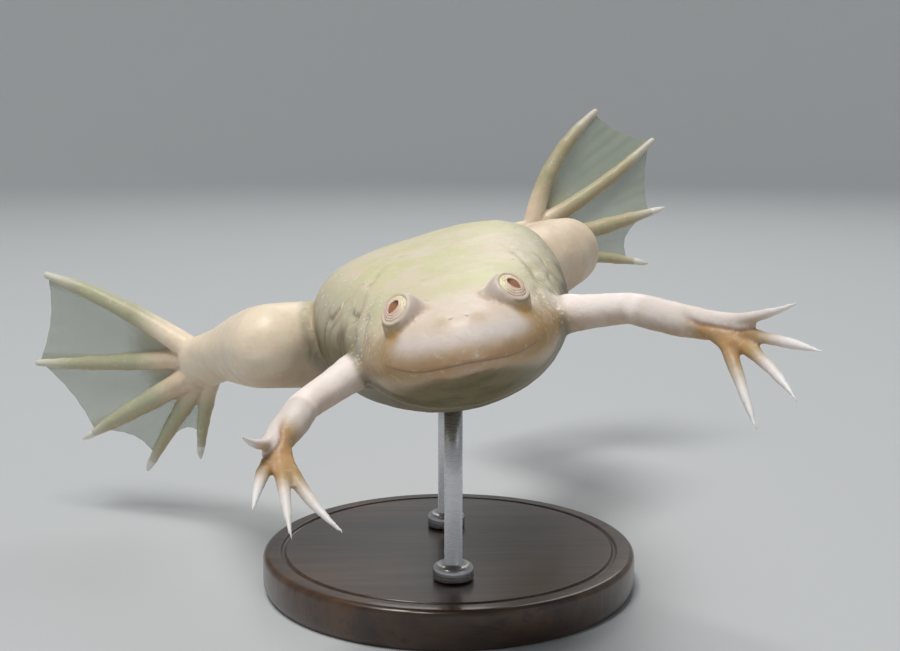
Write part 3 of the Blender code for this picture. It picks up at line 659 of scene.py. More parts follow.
points = read_points(skin.data)
weights = np.zeros(len(points))
for place, reach, strength in JOINS:
    weights = np.maximum(weights, strength * bell(distance_to(points, place), reach))
relax(skin, weights, SEAM_PASSES)
relax(skin, np.full(len(points), SKIN_RELAX), SKIN_PASSES)
print("skin relaxed, mean weight at the joins", round(float(weights.mean()), 3))

# %% [markdown]
# ## Detail in the skin
# The lids, the pouches under the eyes, the mouth line, the nostrils, the valley of the neck and the
# folds of the flank are too small for the forms, so they are pressed into the skin afterwards: each
# is a height along the skin's own normals, worked out for all vertices at once. Around the eyes,
# the mouth and the nostrils the skin gets finer faces first.

# %% Finer faces on the face
NOSTRIL = np.array((0.85, 2.40, 4.10))
NOSTRIL_RADIUS = 0.22
FINER_ROUND_EYES, FINER_ROUND_MOUTH = 3.4, 0.8


def near(points, places, reach):
    """True where a point lies within reach of one of the places."""
    found = np.zeros(len(points), bool)
    for place in places:
        found |= distance_to(points, place) < reach
    return found


def finer_faces(made, places, reach):
    """Halve the edges whose two ends lie near one of the places."""
    mesh = made.data
    ends = np.empty(len(mesh.edges) * 2, int)
    mesh.edges.foreach_get("vertices", ends)
    chosen = np.flatnonzero(near(read_points(mesh), places, reach)[ends.reshape(-1, 2)].all(axis=1))
    shape = bmesh.new()
    shape.from_mesh(mesh)
    shape.edges.ensure_lookup_table()
    bmesh.ops.subdivide_edges(shape, edges=[shape.edges[i] for i in chosen], cuts=1, use_grid_fill=True)
    shape.to_mesh(mesh)
    shape.free()


face_places = [mirrored(EYE_MIDDLE, side) + mirrored(EYE_GAZE, side) for side in SIDES]
finer_faces(skin, face_places, FINER_ROUND_EYES)
mouth_places = list(mouth_line(0, 0, 41))
finer_faces(skin, mouth_places + [NOSTRIL, NOSTRIL * (-1, 1, 1)], FINER_ROUND_MOUTH)
print("after finer faces:", len(skin.data.vertices), "vertices")

# %% Where a point is on the body or along a path
def path_distance(points, path, radii=None):
    """Distance to the nearest piece of a path less its radius there, and the share along it."""
    path = np.asarray(path, float)
    radii = np.zeros(len(path)) if radii is None else radii
    best = np.full(len(points), np.inf)
    share = np.zeros(len(points))
    for i, (start, end) in enumerate(zip(path[:-1], path[1:])):
        along = end - start
        part = np.clip((points - start) @ along / (along @ along), 0, 1)
        off = np.linalg.norm(points - start - part[:, None] * along, axis=1)
        off -= radii[i] + part * (radii[i + 1] - radii[i])
        closer = off < best
        best = np.where(closer, off, best)
        share = np.where(closer, (i + part) / (len(path) - 1), share)
    return best, share


def body_place(points):
    """Angle round the section and share of the way out to the skin, from the superellipse turned
    round: (|x| / w)^n + (|z| / h)^n is 1 on the skin."""
    distance = np.clip(points[:, 1], 0.01, BODY_LENGTH - 0.01)
    width, back, belly, side, fullness, roll, middle = body_outline(distance)
    c, s = np.cos(np.radians(roll)), np.sin(np.radians(roll))
    x = (points[:, 0] - middle) * c - points[:, 2] * s
    z = points[:, 2] * c + (points[:, 0] - middle) * s - side
    power = np.where(z > 0, fullness, BELLY_FULLNESS)
    height = np.where(z > 0, back - side, side - belly)
    x_share, z_share = np.abs(x) / width, np.abs(z) / height
    out = (x_share**power + z_share**power) ** (1 / power)
    return np.degrees(np.arctan2(z / height, x_share)), out


def on_body(points):
    """1 on the body's own skin, falling to 0 about a millimetre off it."""
    off = np.abs(body_place(points)[1] - 1)
    inside = (points[:, 1] > 0) & (points[:, 1] < BODY_LENGTH)
    return np.where(inside, fade(off, 0.05, 0.14), 0)


print("vertices on the body:", round(float(on_body(read_points(skin.data)).mean()), 2), "of all")

# %% Lids, pouches and the cup that the eye sits in
LID_OPENING, LID_MIDDLE, LID_HEIGHT, LID_ROUNDNESS = 1.48, 1.66, 1.22, 1.2
EYE_CLEARANCE = 0.3
EYE_LINE, EYE_LINE_DEPTH = 2.0, 0.14
POUCH_SIDE, POUCH_MIDDLE_RADIUS, POUCH_DEPTH = (0.475, -0.457, -0.752), 2.2, 0.55


def far_side(offset, gaze):
    """1 behind the eye and 0 in front of it, seen along the line of sight."""
    behind = unit((0, 1, 0) - gaze * gaze[1])
    return soft_step(offset @ behind / np.linalg.norm(offset, axis=1), 0.0, 0.5)


def press_eye(points, side):
    """About the line of sight, with rho the distance from it and h the height along it: inside the
    opening the skin follows the eye from beneath, level + depth sqrt(1 - (rho / R)²) less a
    clearance; outside it a lid rises, height - roundness (rho - middle)².
    In front a soft pouch hangs under it."""
    middle = mirrored(EYE_MIDDLE, side)
    gaze = mirrored(EYE_GAZE, side)
    offset = points - middle
    height = offset @ gaze
    rho = np.linalg.norm(offset - height[:, None] * gaze, axis=1)
    ball = EYE_LEVEL - EYE_CLEARANCE + EYE_DEPTH * np.sqrt(np.maximum(1 - (rho / EYE_RADIUS) ** 2, 0))
    lid = LID_HEIGHT - LID_ROUNDNESS * (rho - LID_MIDDLE) ** 2
    wanted = np.where(rho < LID_OPENING, ball, lid)
    share = fade(rho, LID_MIDDLE + 0.1, LID_MIDDLE + 0.5) * (height > 0)
    groove = EYE_LINE_DEPTH * bell(rho - EYE_LINE, 0.13) * far_side(offset, gaze) * (height > -0.5)
    down = unit(mirrored(POUCH_SIDE, side))
    below = soft_step(offset @ down / np.maximum(rho, 1), 0.1, 0.8)
    pouch = bell(height, 0.75) * bell(rho - POUCH_MIDDLE_RADIUS, 0.7) * below
    along_gaze = (wanted - height) * share - groove
    return points + along_gaze[:, None] * gaze + (POUCH_DEPTH * pouch)[:, None] * down


points = read_points(skin.data)
for side in SIDES:
    points = press_eye(points, side)
write_points(skin.data, points)
print("lids pressed")


# %% The mouth's gap and the flank's folds
FAR_AWAY = 9.0
HALF_LINE = 60


def mouth_gap(points):
    """Signed height over the mouth line, in millimetres, and how far along it a point is, from 0
    in the middle to 1 at a corner. Off the face the height is FAR_AWAY."""
    line = mouth_line(0, 0, 2 * HALF_LINE + 1)
    gap = np.full(len(points), FAR_AWAY)
    along = np.zeros(len(points))
    face = np.flatnonzero((points[:, 1] < 13) & (points[:, 2] < 3.5) & (np.abs(points[:, 0]) < 11))
    offset = points[face][:, None, :2] - line[None, :, :2]
    nearest = np.argmin((offset**2).sum(axis=2), axis=1)
    gap[face] = points[face, 2] - line[nearest, 2]
    along[face] = np.abs(nearest / HALF_LINE - 1)
    return gap, along


def fold_height(points):
    """Folds of the flank: narrow valleys where a noise, stretched down the side, is near 0. They
    are deep behind the head and the shoulder, and fade towards the hip, the back and the belly."""
    angle, _ = body_place(points)
    stretched = points * (1.0, 1.0, 0.4)
    first = soft_noise(stretched, 2.5, 3) + 0.25 * soft_noise(stretched, 1.1, 4)
    second = soft_noise(stretched, 1.7, 5) + 0.25 * soft_noise(stretched, 0.9, 8)
    band = soft_step(angle, -38, -8) * fade(angle, 30, 54)
    for arm in ARMS.values():
        off, _ = path_distance(points, (arm["shoulder"], arm["elbow"]), (2.8, 1.8))
        band = band * soft_step(off, 0.3, 2.2)
    reach = soft_step(points[:, 1], 8, 13) * (1 - 0.7 * soft_step(points[:, 1], 19, 32))
    reach *= fade(points[:, 1], 48, 60)
    return -(bell(first, 0.2) + 0.4 * bell(second, 0.18)) * band * reach * on_body(points)


print("vertices at the mouth:", int((np.abs(mouth_gap(points)[0]) < 1).sum()))

# %% The neck's fold and valley, and the palms
NECK_FOLD = ((9.7, 17.0, 3.9), (9.5, 20.0, 4.9), (8.6, 22.6, 5.9), (7.6, 25.3, 6.7), (6.0, 30.0, 7.5),
             (4.4, 33.0, 7.9))
NECK_VALLEY = ((11.3, 15.8, 1.2), (11.3, 17.0, 2.0), (10.6, 17.6, 3.4), (9.7, 20.2, 5.0),
               (8.6, 23.6, 6.3))


def palm_place(points, arm):
    """How much a point belongs to the wrist and palm, and how much nearer it is to them than to
    the ridge above: below 0 on the ridge, over 0 under it, both in millimetres from the skin."""
    elbow, wrist = limb_places(arm, "elbow", "wrist")
    to_ridge, _ = path_distance(points, ridge_line(arm), RIDGE_RADII)
    palm = ((elbow + wrist) / 2, wrist, palm_end(arm))
    to_palm, share = path_distance(points, palm, (1.7, 1.45, 1.2))
    for finger in (1, 2, 3):
        line = finger_line(arm, finger, np.linspace(0, 1, 4))
        to_palm = np.minimum(to_palm, path_distance(points, line, (0.75, 0.6, 0.4, 0.13))[0])
    return soft_step(share, 0.1, 0.55) * fade(to_palm, 0.5, 1.2), to_ridge - to_palm


print("neck's fold and valley, knots:", len(NECK_FOLD), len(NECK_VALLEY))

# %% Press the details in
LIPS_DEPTH, CHIN_DEPTH = 0.20, 0.22
NOSTRIL_RIM, NOSTRIL_DEPTH = 0.06, 0.28
FOLD_LIP, FOLD_DEPTH = 0.10, 0.13
VALLEY_DEPTH, VALLEY_LUMPS = 0.38, 0.10
PALM_EDGE_DEPTH, PALM_DEPTH = 0.22, 0.18
FLANK_FOLD_DEPTH = 0.34
# Rise, size and seed of each noise
UNEVENNESS = ((0.05, 1.6, 6), (0.02, 0.7, 7))

points = read_points(skin.data)
normals = read_normals(skin.data)
gap, along = mouth_gap(points)
closing = fade(along, 0.74, 0.88)
height = -LIPS_DEPTH * bell(gap, 0.12) * closing
height -= CHIN_DEPTH * soft_step(-gap, 0.0, 0.2) * fade(-gap, 0.5, 2.4) * closing
for side in (1, -1):
    off = distance_to(points, NOSTRIL * (side, 1, 1))
    rim = NOSTRIL_RIM * bell(off - NOSTRIL_RADIUS - 0.15, 0.16)
    height += rim - NOSTRIL_DEPTH * bell(off, NOSTRIL_RADIUS)
    off, share = path_distance(points, np.array(NECK_FOLD) * (side, 1, 1))
    off += 0.5 * soft_noise(points, 3.0, 12)
    fold = FOLD_LIP * bell(off - 0.9, 0.7) - FOLD_DEPTH * bell(off, 0.3)
    height += fold * fade(share, 0.35, 0.95)
    off, share = path_distance(points, np.array(NECK_VALLEY) * (side, 1, 1))
    height -= VALLEY_DEPTH * bell(off, 0.9) * fade(share, 0.5, 1.0) * on_body(points)
    height += VALLEY_LUMPS * soft_noise(points, 1.1, 9) * bell(off, 3.0)
for arm in ARMS.values():
    on_palm, past_ridge = palm_place(points, arm)
    palm = PALM_EDGE_DEPTH * bell(past_ridge - 0.08, 0.16) + PALM_DEPTH * bell(past_ridge - 0.7, 0.6)
    height -= on_palm * palm
height += FLANK_FOLD_DEPTH * fold_height(points)
height += sum(rise * soft_noise(points, size, seed) for rise, size, seed in UNEVENNESS)
write_points(skin.data, points + normals * height[:, None])
print("pressed in, from", round(float(height.min()), 2), "to", round(float(height.max()), 2), "mm")

# %% Fewer faces where the skin is plain
SKIN_TRIANGLES = 190000

triangle_count = sum(len(polygon.vertices) - 2 for polygon in skin.data.polygons)
thin_out = skin.modifiers.new("fewer faces", "DECIMATE")
thin_out.ratio = min(1, SKIN_TRIANGLES / triangle_count)
apply_modifiers(skin)
print("skin:", triangle_count, "triangles thinned to", len(skin.data.polygons))

# %% [markdown]
# ## Marks that the paint follows
# The photo's frog is yellow-green on the crown and back, pinkish on the face, almost white on the
# arms and tan on the legs. Its shade is painted too: orange in its palms, under its eyes and limbs
# and along its mouth, grey on its flanks, tan low on its face, dark on its belly and in creases. A
# pale band on the snout and the paler upper arms are painted highlight. Each of these is a number on
# the skin's vertices, which the material reads, so that the paint follows the form.

# %% Hollows of the skin
HOLLOW_BLUR = 3


def neighbour_mean(mesh, values):
    """The mean of the values at a vertex's neighbours, summed edge by edge with bincount."""
    ends = np.empty(len(mesh.edges) * 2, int)
    mesh.edges.foreach_get("vertices", ends)
    a, b = ends.reshape(-1, 2).T
    count = np.bincount(a, minlength=len(values)) + np.bincount(b, minlength=len(values))
    total = np.bincount(a, values[b], len(values)) + np.bincount(b, values[a], len(values))
    return total / np.maximum(count, 1)


def hollows(mesh, points, normals, passes):
    """How hollow the skin is: the neighbours' mean position, seen along the normal, blurred."""
    mean = np.column_stack([neighbour_mean(mesh, points[:, axis]) for axis in range(3)])
    depth = np.einsum("ij,ij->i", mean - points, normals)
    for _ in range(passes):
        depth = 0.5 * depth + 0.5 * neighbour_mean(mesh, depth)
    return depth


points = read_points(skin.data)
normals = read_normals(skin.data)
# The hollows carry painted shade: the skin is darkened brown in its creases.
hollow = hollows(skin.data, points, normals, HOLLOW_BLUR)
print("hollows:", np.percentile(hollow, (1, 50, 99)).round(4))

# %% Arms for the paint
body = on_body(points)
angle, _ = body_place(points)
upper = normals[:, 2]
behind = soft_step(points[:, 1], 22, 28)
# Painted shade under the arms and legs, in ochre and orange, and a painted glow of light shining through
# the frog's left leg, which is a little more orange all over.
under_arm = (1 - body) * (1 - behind) * soft_step(-upper, -0.4, 0.6)
under_leg = 0.45 * soft_step(-upper, 0.1, 0.8) + 0.25 * (points[:, 0] > 0)
ochre = 0.45 * under_arm
warm = 0.35 * under_arm + (1 - body) * behind * under_leg
tips, toes, red, upper_arm = np.zeros((4, len(points)))
for arm in ARMS.values():
    # Painted highlight: the upper arm is painted paler than the forearm.
    off, share = path_distance(points, (arm["shoulder"], arm["elbow"]), (2.6, 1.9))
    upper_arm = np.maximum(upper_arm, fade(off, 0.3, 1.4) * soft_step(share, 0.1, 0.35))
    on_palm, past_ridge = palm_place(points, arm)
    wrist, end = np.array(arm["wrist"]), palm_end(arm)
    off, _ = path_distance(points, (wrist * 0.6 + end * 0.4, end))
    # Painted shade in the hollow of the palm under the ridge, in ochre and orange, with a red line of
    # painted shadow along the ridge's lower edge.
    below = soft_step(past_ridge, -0.05, 0.25)
    ochre = np.maximum(ochre, on_palm * below * fade(off, 2.5, 6.0))
    warm = np.maximum(warm, 0.9 * on_palm * below * fade(off, 1.2, 3.2))
    red = np.maximum(red, on_palm * bell(past_ridge - 0.05, 0.14) * fade(off, 2.2, 4.5))
    for finger in range(4):
        line = finger_line(arm, finger, np.linspace(0, 1, 5))
        off, share = path_distance(points, line, np.full(5, 0.5))
        tips = np.maximum(tips, fade(off, 0.4, 0.8) * soft_step(share, 0.2, 0.8))
print("upper arms, red:", [round(float(values.mean()), 4) for values in (upper_arm, red)])

# %% Toes for the paint
for leg in LEGS.values():
    for toe in range(5):
        line = toe_line(leg, toe, np.linspace(0, 1, 6))
        off, share = path_distance(points, line, np.full(6, TOE_HALF_THICKNESS[toe]))
        close = fade(off, 0.4, 0.9)
        toes = np.maximum(toes, close * soft_step(share, 0.1, 0.4))
        tips = np.maximum(tips, 0.6 * close * soft_step(share, 0.72, 0.98))
        # Painted shade, orange, at the roots of the four inner toes.
        warm = np.maximum(warm, 0.4 * close * bell(share - 0.14, 0.1) * (toe < 4))
print("warm, tips, toes:", [round(float(values.mean()), 3) for values in (warm, tips, toes)])

# %% Round the eyes for the paint
# Each spot has its place, width and strength. The first three are painted shade below the eye, the last an
# ochre patch beside the nostril.
EYE_SPOTS = (((6.6, 5.6, 3.0), 1.1, 0.8), ((7.3, 6.9, 2.7), 1.1, 0.6), ((8.4, 6.6, 1.2), 1.8, 0.5),
             ((1.9, 2.2, 3.9), 0.9, 0.35))
# The pouch under each eye is painted orange-brown, as painted shade under the turret.
POUCH_MIDDLE, POUCH_SIZE = (6.65, 6.05, 2.75), 0.95
GRAIN_PATCHES = (((10.3, 13.5, 2.2), 3.6, 1.0), ((8.0, 14.0, 5.0), 3.0, 0.5))

eye_ring, eye_line = np.full((2, len(points)), FAR_AWAY)
shade, amber, grains = np.zeros((3, len(points)))
head = body.copy()
for side in SIDES:
    offset = points - mirrored(EYE_MIDDLE, side)
    level = offset @ mirrored(EYE_GAZE, side)
    rho = np.linalg.norm(offset - level[:, None] * mirrored(EYE_GAZE, side), axis=1)
    eye_ring = np.where((level > 0.5) & (rho < 3.5), np.minimum(eye_ring, rho), eye_ring)
    for spot, size, strength in EYE_SPOTS:
        ochre += strength * bell(distance_to(points, mirrored(spot, side)), size)
    amber += bell(distance_to(points, mirrored(POUCH_MIDDLE, side)), POUCH_SIZE)
    near_rim = (level > -0.8) & (rho < 3.6)
    far = far_side(offset, mirrored(EYE_GAZE, side))
    round_it = soft_step(offset @ mirrored((1, 0.6, 0), side) / np.maximum(rho, 1), -0.9, -0.2)
    to_line = np.abs(rho - EYE_LINE) + 0.25 * (1 - round_it)
    eye_line = np.where(near_rim, np.minimum(eye_line, to_line), eye_line)
    inward = unit(np.cross(mirrored(EYE_GAZE, side), (0, 0, 1))) * (1 if side == "right" else -1)
    shaded = soft_step(rho, 1.85, 2.0) * fade(rho, 2.2, 2.7)
    shaded *= soft_step(-offset[:, 1], -0.6, 1.1)
    shade = np.where(near_rim, (1 - far) * shaded * fade(offset @ inward, 0.8, 2.2), shade)
    head = np.maximum(head, fade(np.linalg.norm(offset, axis=1), 2.6, 3.8))
    for place, size, strength in GRAIN_PATCHES:
        off = np.linalg.norm((points - mirrored(place, side)) / (1, 1.5, 1), axis=1)
        grains += strength * bell(off, size)
    # A painted glint on each nostril, laid on the pale tips' mark.
    off = distance_to(points - mirrored(NOSTRIL, side), (0, 0.15, 0.2))
    tips = np.maximum(tips, 1.2 * bell(off, 0.3))
print("grains mean", round(float(grains.mean()), 4))

# %% Mouth, belly and flanks for the paint
# Place, where the shade is still full, where it ends, and its strength
SHOULDER_HOLLOWS = (((-12.9, 20.3, 0.3), 1.2, 3.4, 1.0), ((13.1, 28.1, 2.3), 0.8, 2.8, 0.75))

gap, along = mouth_gap(points)
# Painted shade: orange-brown just above the mouth line, and tan just under it.
warm += 0.65 * bell(gap - 0.6, 0.9) * fade(along, 0.75, 1.0)
warm += 0.3 * soft_step(-gap, 0.0, 0.3) * fade(-gap, 0.6, 2.2) * (points[:, 1] < 12)
front = fade(points[:, 1], 9, 15)
sides = soft_step(np.abs(points[:, 0]), 5.5, 8.5) * soft_step(-upper, -0.9, -0.3)
# Painted shade: dark olive under the mouth, on the belly and the lower flanks and in the hollows behind
# the shoulders, less where the thighs lie against the body.
belly = body * soft_step((-gap - 1.6 * along**2) / (0.7 + 2.6 * along**2), 0, 1)
low_flank = soft_step(-angle, -34, -4) * (0.4 + 0.6 * soft_step(-points[:, 0], 0, 4))
belly += body * (1 - front) * np.maximum(soft_step(-upper, -0.7, 0.2), low_flank)
for leg in LEGS.values():
    off, _ = path_distance(points, (leg["hip"], leg["knee"]), (5.0, 5.2))
    belly *= soft_step(off, -0.5, 2.5)
for spot, full, reach, strength in SHOULDER_HOLLOWS:
    belly = np.maximum(belly, strength * fade(distance_to(points, spot), full, reach))
belly = np.clip(belly, 0, 1)
# Painted shade: ochre along the mouth, stronger on the frog's left.
off_middle = soft_step(np.abs(points[:, 0]), 3, 8) * np.where(points[:, 0] > 0, 0.75, 0.4)
ochre += bell(gap + 0.2, 1.7) * off_middle
# Painted shade: the sides of the trunk are painted greyer.
flank = body * soft_step(points[:, 1], 10, 18) * soft_step(angle, -35, 0) * fade(angle, 35, 62)
# Painted shade: the face's sides, and where it faces down, are painted a darker tan.
cheek = body * front * np.maximum(soft_step(-upper, -0.6, 0.3), 0.8 * sides) * (1 - belly)
print("belly mean", round(float(belly.mean()), 3))

# %% All the marks
marks = {
    "arm": (1 - body) * (1 - behind), "leg": (1 - body) * behind, "toes": toes, "tips": tips,
    "crown": head * soft_step(upper, 0.3, 0.9) * soft_step(points[:, 1], 6, 13), "shade": shade,
    "flank": flank, "cheek": cheek, "belly": belly, "red": red, "eye_line": eye_line,
    "amber": np.clip(amber, 0, 1), "ochre": np.clip(ochre, 0, 1), "warm": np.clip(warm, 0, 1),
    # Painted highlight: a pale band along the snout above the mouth line.
    "muzzle": bell(gap - 2.7, 0.8) * fade(along, 0.6, 0.95), "upper_arm": upper_arm,
    "mouth": np.clip(np.abs(gap), 0, 3) + 3 * soft_step(along, 0.74, 0.88),
    "crease": soft_step(hollow, 0.002, 0.012), "eye_ring": eye_ring, "grains": np.clip(grains, 0, 1),
}
for name, values in marks.items():
    set_attribute(skin.data, name, values)
    print(name, "mean", round(float(values.mean()), 3))

# %% [markdown]
# ## Webs
# The web is skin too, but only a tenth of a millimetre thick and clear enough to see through. Each
# one is a surface spanned between two toes: across it runs straight from toe to toe, along it
# follows both, and it bellies backwards a little, because the water presses on it.

# %% The web between two toes
WEB_START = 0.16
# A number for each of the four webs, from the inner toe outwards
WEB_REACH = (0.8, 0.93, 0.97, 0.985)
WEB_NOTCH = (0.12, 0.07, 0.02, 0.03)
WEB_BILLOW = (0.3, 0.5, 0.8, 0.8)
WEB_THICKNESS, BILLOW_END = 0.13, 0.8
WEB_PLEATS, WEB_PLEAT_DEPTH = 5, 0.07
WEB_ROWS, WEB_COLUMNS = 56, 34


def web_grid(leg, web, normal):
    """inner(t) + u (outer(t) - inner(t)) - billow sin(pi u) sin(pi t) normal, with fine pleats
    along it; t ends earlier in the middle, by the notch, which makes the free edge hollow."""
    u = np.linspace(0, 1, WEB_COLUMNS)[None, :]
    v = np.linspace(0, 1, WEB_ROWS)[:, None]
    reach = WEB_REACH[web] - WEB_NOTCH[web] * np.sin(np.pi * u)
    t = WEB_START + v * (reach - WEB_START)
    inner = toe_line(leg, web, (t * skin_share(leg, web)).ravel()).reshape(WEB_ROWS, WEB_COLUMNS, 3)
    outer = toe_line(leg, web + 1, (t * skin_share(leg, web + 1)).ravel()).reshape(inner.shape)
    billow = WEB_BILLOW[web] * np.sin(np.pi * u) * np.sin(np.pi * np.minimum(t, BILLOW_END))
    waves = np.sin(2 * np.pi * (u * WEB_PLEATS + 0.3 * np.sin(4 * v + web)))
    pleats = WEB_PLEAT_DEPTH * waves * np.sin(np.pi * u) * v
    return inner + u[..., None] * (outer - inner) - (billow + pleats)[..., None] * normal


print("a web has", WEB_ROWS * WEB_COLUMNS, "points")

# %% Make the webs
def open_grid_object(name, grids):
    """One object out of open grids, with a UV map of u across and v along each of them."""
    points, faces, uv, count = [], [], [], 0
    for grid in grids:
        rows, columns = grid.shape[:2]
        index = np.arange(rows * columns).reshape(rows, columns) + count
        corners = (index[:-1, :-1], index[:-1, 1:], index[1:, 1:], index[1:, :-1])
        faces.append(np.stack(corners, axis=-1).reshape(-1, 4))
        points.append(grid.reshape(-1, 3))
        v, u = np.meshgrid(np.linspace(0, 1, rows), np.linspace(0, 1, columns), indexing="ij")
        uv.append(np.stack((u, v), axis=-1).reshape(-1, 2))
        count += rows * columns
    mesh = bpy.data.meshes.new(name)
    mesh.from_pydata(np.concatenate(points).tolist(), [], np.concatenate(faces).tolist())
    set_uv(mesh, np.concatenate(uv))
    return add_object(name, mesh)


webs = {}
for side, leg in LEGS.items():
    normal = foot_normal(leg)
    web = open_grid_object("web_" + side, [web_grid(leg, i, normal) for i in range(4)])
    wall = web.modifiers.new("thickness", "SOLIDIFY")
    wall.thickness = WEB_THICKNESS
    wall.offset = 0
    apply_modifiers(web)
    webs[side] = web
    print(web.name, len(web.data.polygons), "faces")

# %% [markdown]
# ## Eyes
# The eye is a low dome whose face carries everything: a cream iris in fine rings and an almond of a
# pupil, which glows red-brown because an albino's eye has no pigment behind it. It is drawn on a
# polar grid about the line of sight, as an ellipsoid, with the place on its face kept as UV.

# %% Eyeballs
FACE_ROWS, SIDE_ROWS, EYE_COLUMNS = 56, 16, 120
PUPIL_DEPTH, PUPIL_RIM, EYE_INSET = 0.08, 0.03, 0.03
PUPIL_LENGTH, PUPIL_WIDTH, PUPIL_ROUNDING = 0.44, 0.3, 1.45


def almond(u, v):
    """Below 0 inside the pupil: (|v| / (width (1 + u / 2))) to the power of the rounding, less
    (1 - (u / length)²). That is a lens with softened ends, fuller at its upper one."""
    across = np.abs(v) / (PUPIL_WIDTH * (1 + u / 2))
    return across ** PUPIL_ROUNDING - (1 - (u / PUPIL_LENGTH) ** 2)


def make_eye(side):
    """middle + level(p) · gaze + R sin p (cos a · long axis + sin a · other), p being the angle from
    the line of sight, and level(p) = EYE_LEVEL + EYE_DEPTH cos p less the inset and the sunk
    pupil."""
    gaze, long_axis, other = eye_axes(side)
    polar = np.concatenate((np.linspace(0.02, 0.95, FACE_ROWS), np.linspace(1.0, 2.6, SIDE_ROWS)))[:, None]
    angle = np.linspace(0, 2 * np.pi, EYE_COLUMNS, endpoint=False)[None, :]
    u, v = np.sin(polar) * np.cos(angle), np.sin(polar) * np.sin(angle)
    out = np.hypot(u, v)
    edge = almond(u, v)
    sunk = PUPIL_DEPTH * fade(edge, -0.25, 0.1) - PUPIL_RIM * bell(edge - 0.3, 0.2)
    level = EYE_LEVEL + EYE_DEPTH * np.cos(polar) - EYE_INSET - sunk * (polar < 0.9)
    grid = mirrored(EYE_MIDDLE, side) + level[..., None] * gaze
    grid = grid + EYE_RADIUS * (u[..., None] * long_axis + v[..., None] * other)
    eye = mesh_from_surfaces("eyeball_" + side, [closed_grid(grid)])
    front = np.where(polar < np.pi / 2, 1.0, 1.0 / np.maximum(out, 0.01))
    uv = np.stack((u * front, v * front), axis=-1).reshape(-1, 2) / 2 + 0.5
    set_uv(eye.data, np.concatenate((uv, ((0.5, 0.5), (1.0, 0.5)))))
    return eye


eyes = {side: make_eye(side) for side in SIDES}
print("eyes:", [len(eye.data.polygons) for eye in eyes.values()])

# %% [markdown]
# ## Claws
# The three inner toes of each hind foot end in a short claw, which gave the frog its name. On a
# pale animal the horn is pale too. Each is a tapering sweep that hooks a little.

# %% Claws
CLAW_RADII = (0.62, 0.59, 0.5, 0.35, 0.12)
CLAW_OVERLAP, CLAW_REACH, CLAW_HOOK = 0.2, 0.28, 0.16


def make_claw(side, leg, toe):
    """A sweep from inside the toe's end to a little past its tip, bent forwards by its hook."""
    normal = foot_normal(leg)
    end, tip = toe_line(leg, toe, (skin_share(leg, toe), 1.0))
    ahead = unit(tip - end)
    root, point = end - ahead * CLAW_OVERLAP, tip + ahead * CLAW_REACH
    line = bowed_line(root, point, normal * CLAW_HOOK, np.linspace(0, 1, 7))
    return mesh_from_surfaces("horn_%s_%d" % (side, toe + 1), [sweep(line, CLAW_RADII, 26, 20, normal)])


claws = {(side, toe): make_claw(side, leg, toe)
         for side, leg in LEGS.items() for toe in range(CLAWED_TOES)}
print("claws:", len(claws))

# %% [markdown]
# ## The stitches of the lateral line
# Clawed frogs keep a fish's lateral line: rows of short pale dashes, like stitches, along the
# flanks, with which they feel the water move. On a pale animal they hardly show. There are many, so
# each is a low mound of a few dozen faces, set on the skin with its long side across the row.

# %% Stitches
STITCH_LENGTH, STITCH_WIDTH, STITCH_HEIGHT = 0.7, 0.26, 0.05
# A stitch is left out where the skin is further than this from the body's own form
STITCH_MISS = 1.6
# Each row's angle round the body, its start and end behind the snout, and its step
STITCH_ROWS = ((56, 20, 60, 1.9), (34, 15, 58, 2.1), (-12, 22, 56, 2.0))


def mound(columns=10, rows=4):
    """Half an ellipsoid of unit size: cos(p) (cos a, sin a) and sin(p) up, a little below 0."""
    p = np.linspace(-0.35, np.pi / 2, rows + 1)[:-1][:, None]
    a = np.linspace(0, 2 * np.pi, columns, endpoint=False)[None, :]
    grid = np.stack((np.cos(p) * np.cos(a), np.cos(p) * np.sin(a), np.sin(p) + 0 * a), axis=-1)
    return closed_grid(grid)


print("a mound:", len(mound()[1]) + len(mound()[2]), "faces")

# %% Where the stitches sit
rng = np.random.default_rng(11)
rows_of_stitches = []
for side in (1, -1):
    for row_angle, start, end, step in STITCH_ROWS:
        count = int((end - start) / step)
        distance = np.linspace(start, end, count) + rng.uniform(-0.3, 0.3, count)
        turn = np.radians(row_angle + rng.uniform(-4, 4, count))
        turn = turn if side > 0 else np.pi - turn
        here, ahead = body_point(distance, turn), body_point(distance + 0.2, turn)
        rows_of_stitches.append((here, unit(ahead - here), rng.uniform(0.55, 1.15, count)))
centre, along_row, size = (np.concatenate(values) for values in zip(*rows_of_stitches))
skin_points, skin_normals = read_points(skin.data), read_normals(skin.data)
nearest = np.array([np.argmin(((skin_points - place) ** 2).sum(axis=1)) for place in centre])
seat, up = skin_points[nearest], skin_normals[nearest]
gap_here, _ = mouth_gap(seat)
kept = (distance_to(seat, centre) < STITCH_MISS) & (np.abs(gap_here) > 1.0)
seat, up, along_row, size = seat[kept], up[kept], along_row[kept], size[kept]
across_row = unit(np.cross(up, along_row))
ahead = np.cross(across_row, up)
print("stitches:", len(seat))

# %% The stitches' mesh
shape_points, shape_quads, shape_triangles = mound()
local = shape_points * (STITCH_WIDTH / 2, STITCH_LENGTH / 2, STITCH_HEIGHT)
flat = local[None, :, 0, None] * ahead[:, None] + local[None, :, 1, None] * across_row[:, None]
placed = seat[:, None] + flat * size[:, None, None] + local[None, :, 2, None] * up[:, None]
shift = np.arange(len(seat))[:, None, None] * len(local)
stitches = mesh_from_surfaces("lateral_line", [(
    placed.reshape(-1, 3),
    (shape_quads[None] + shift).reshape(-1, 4),
    (shape_triangles[None] + shift).reshape(-1, 3),
)])
print("stitches' faces:", len(stitches.data.polygons))

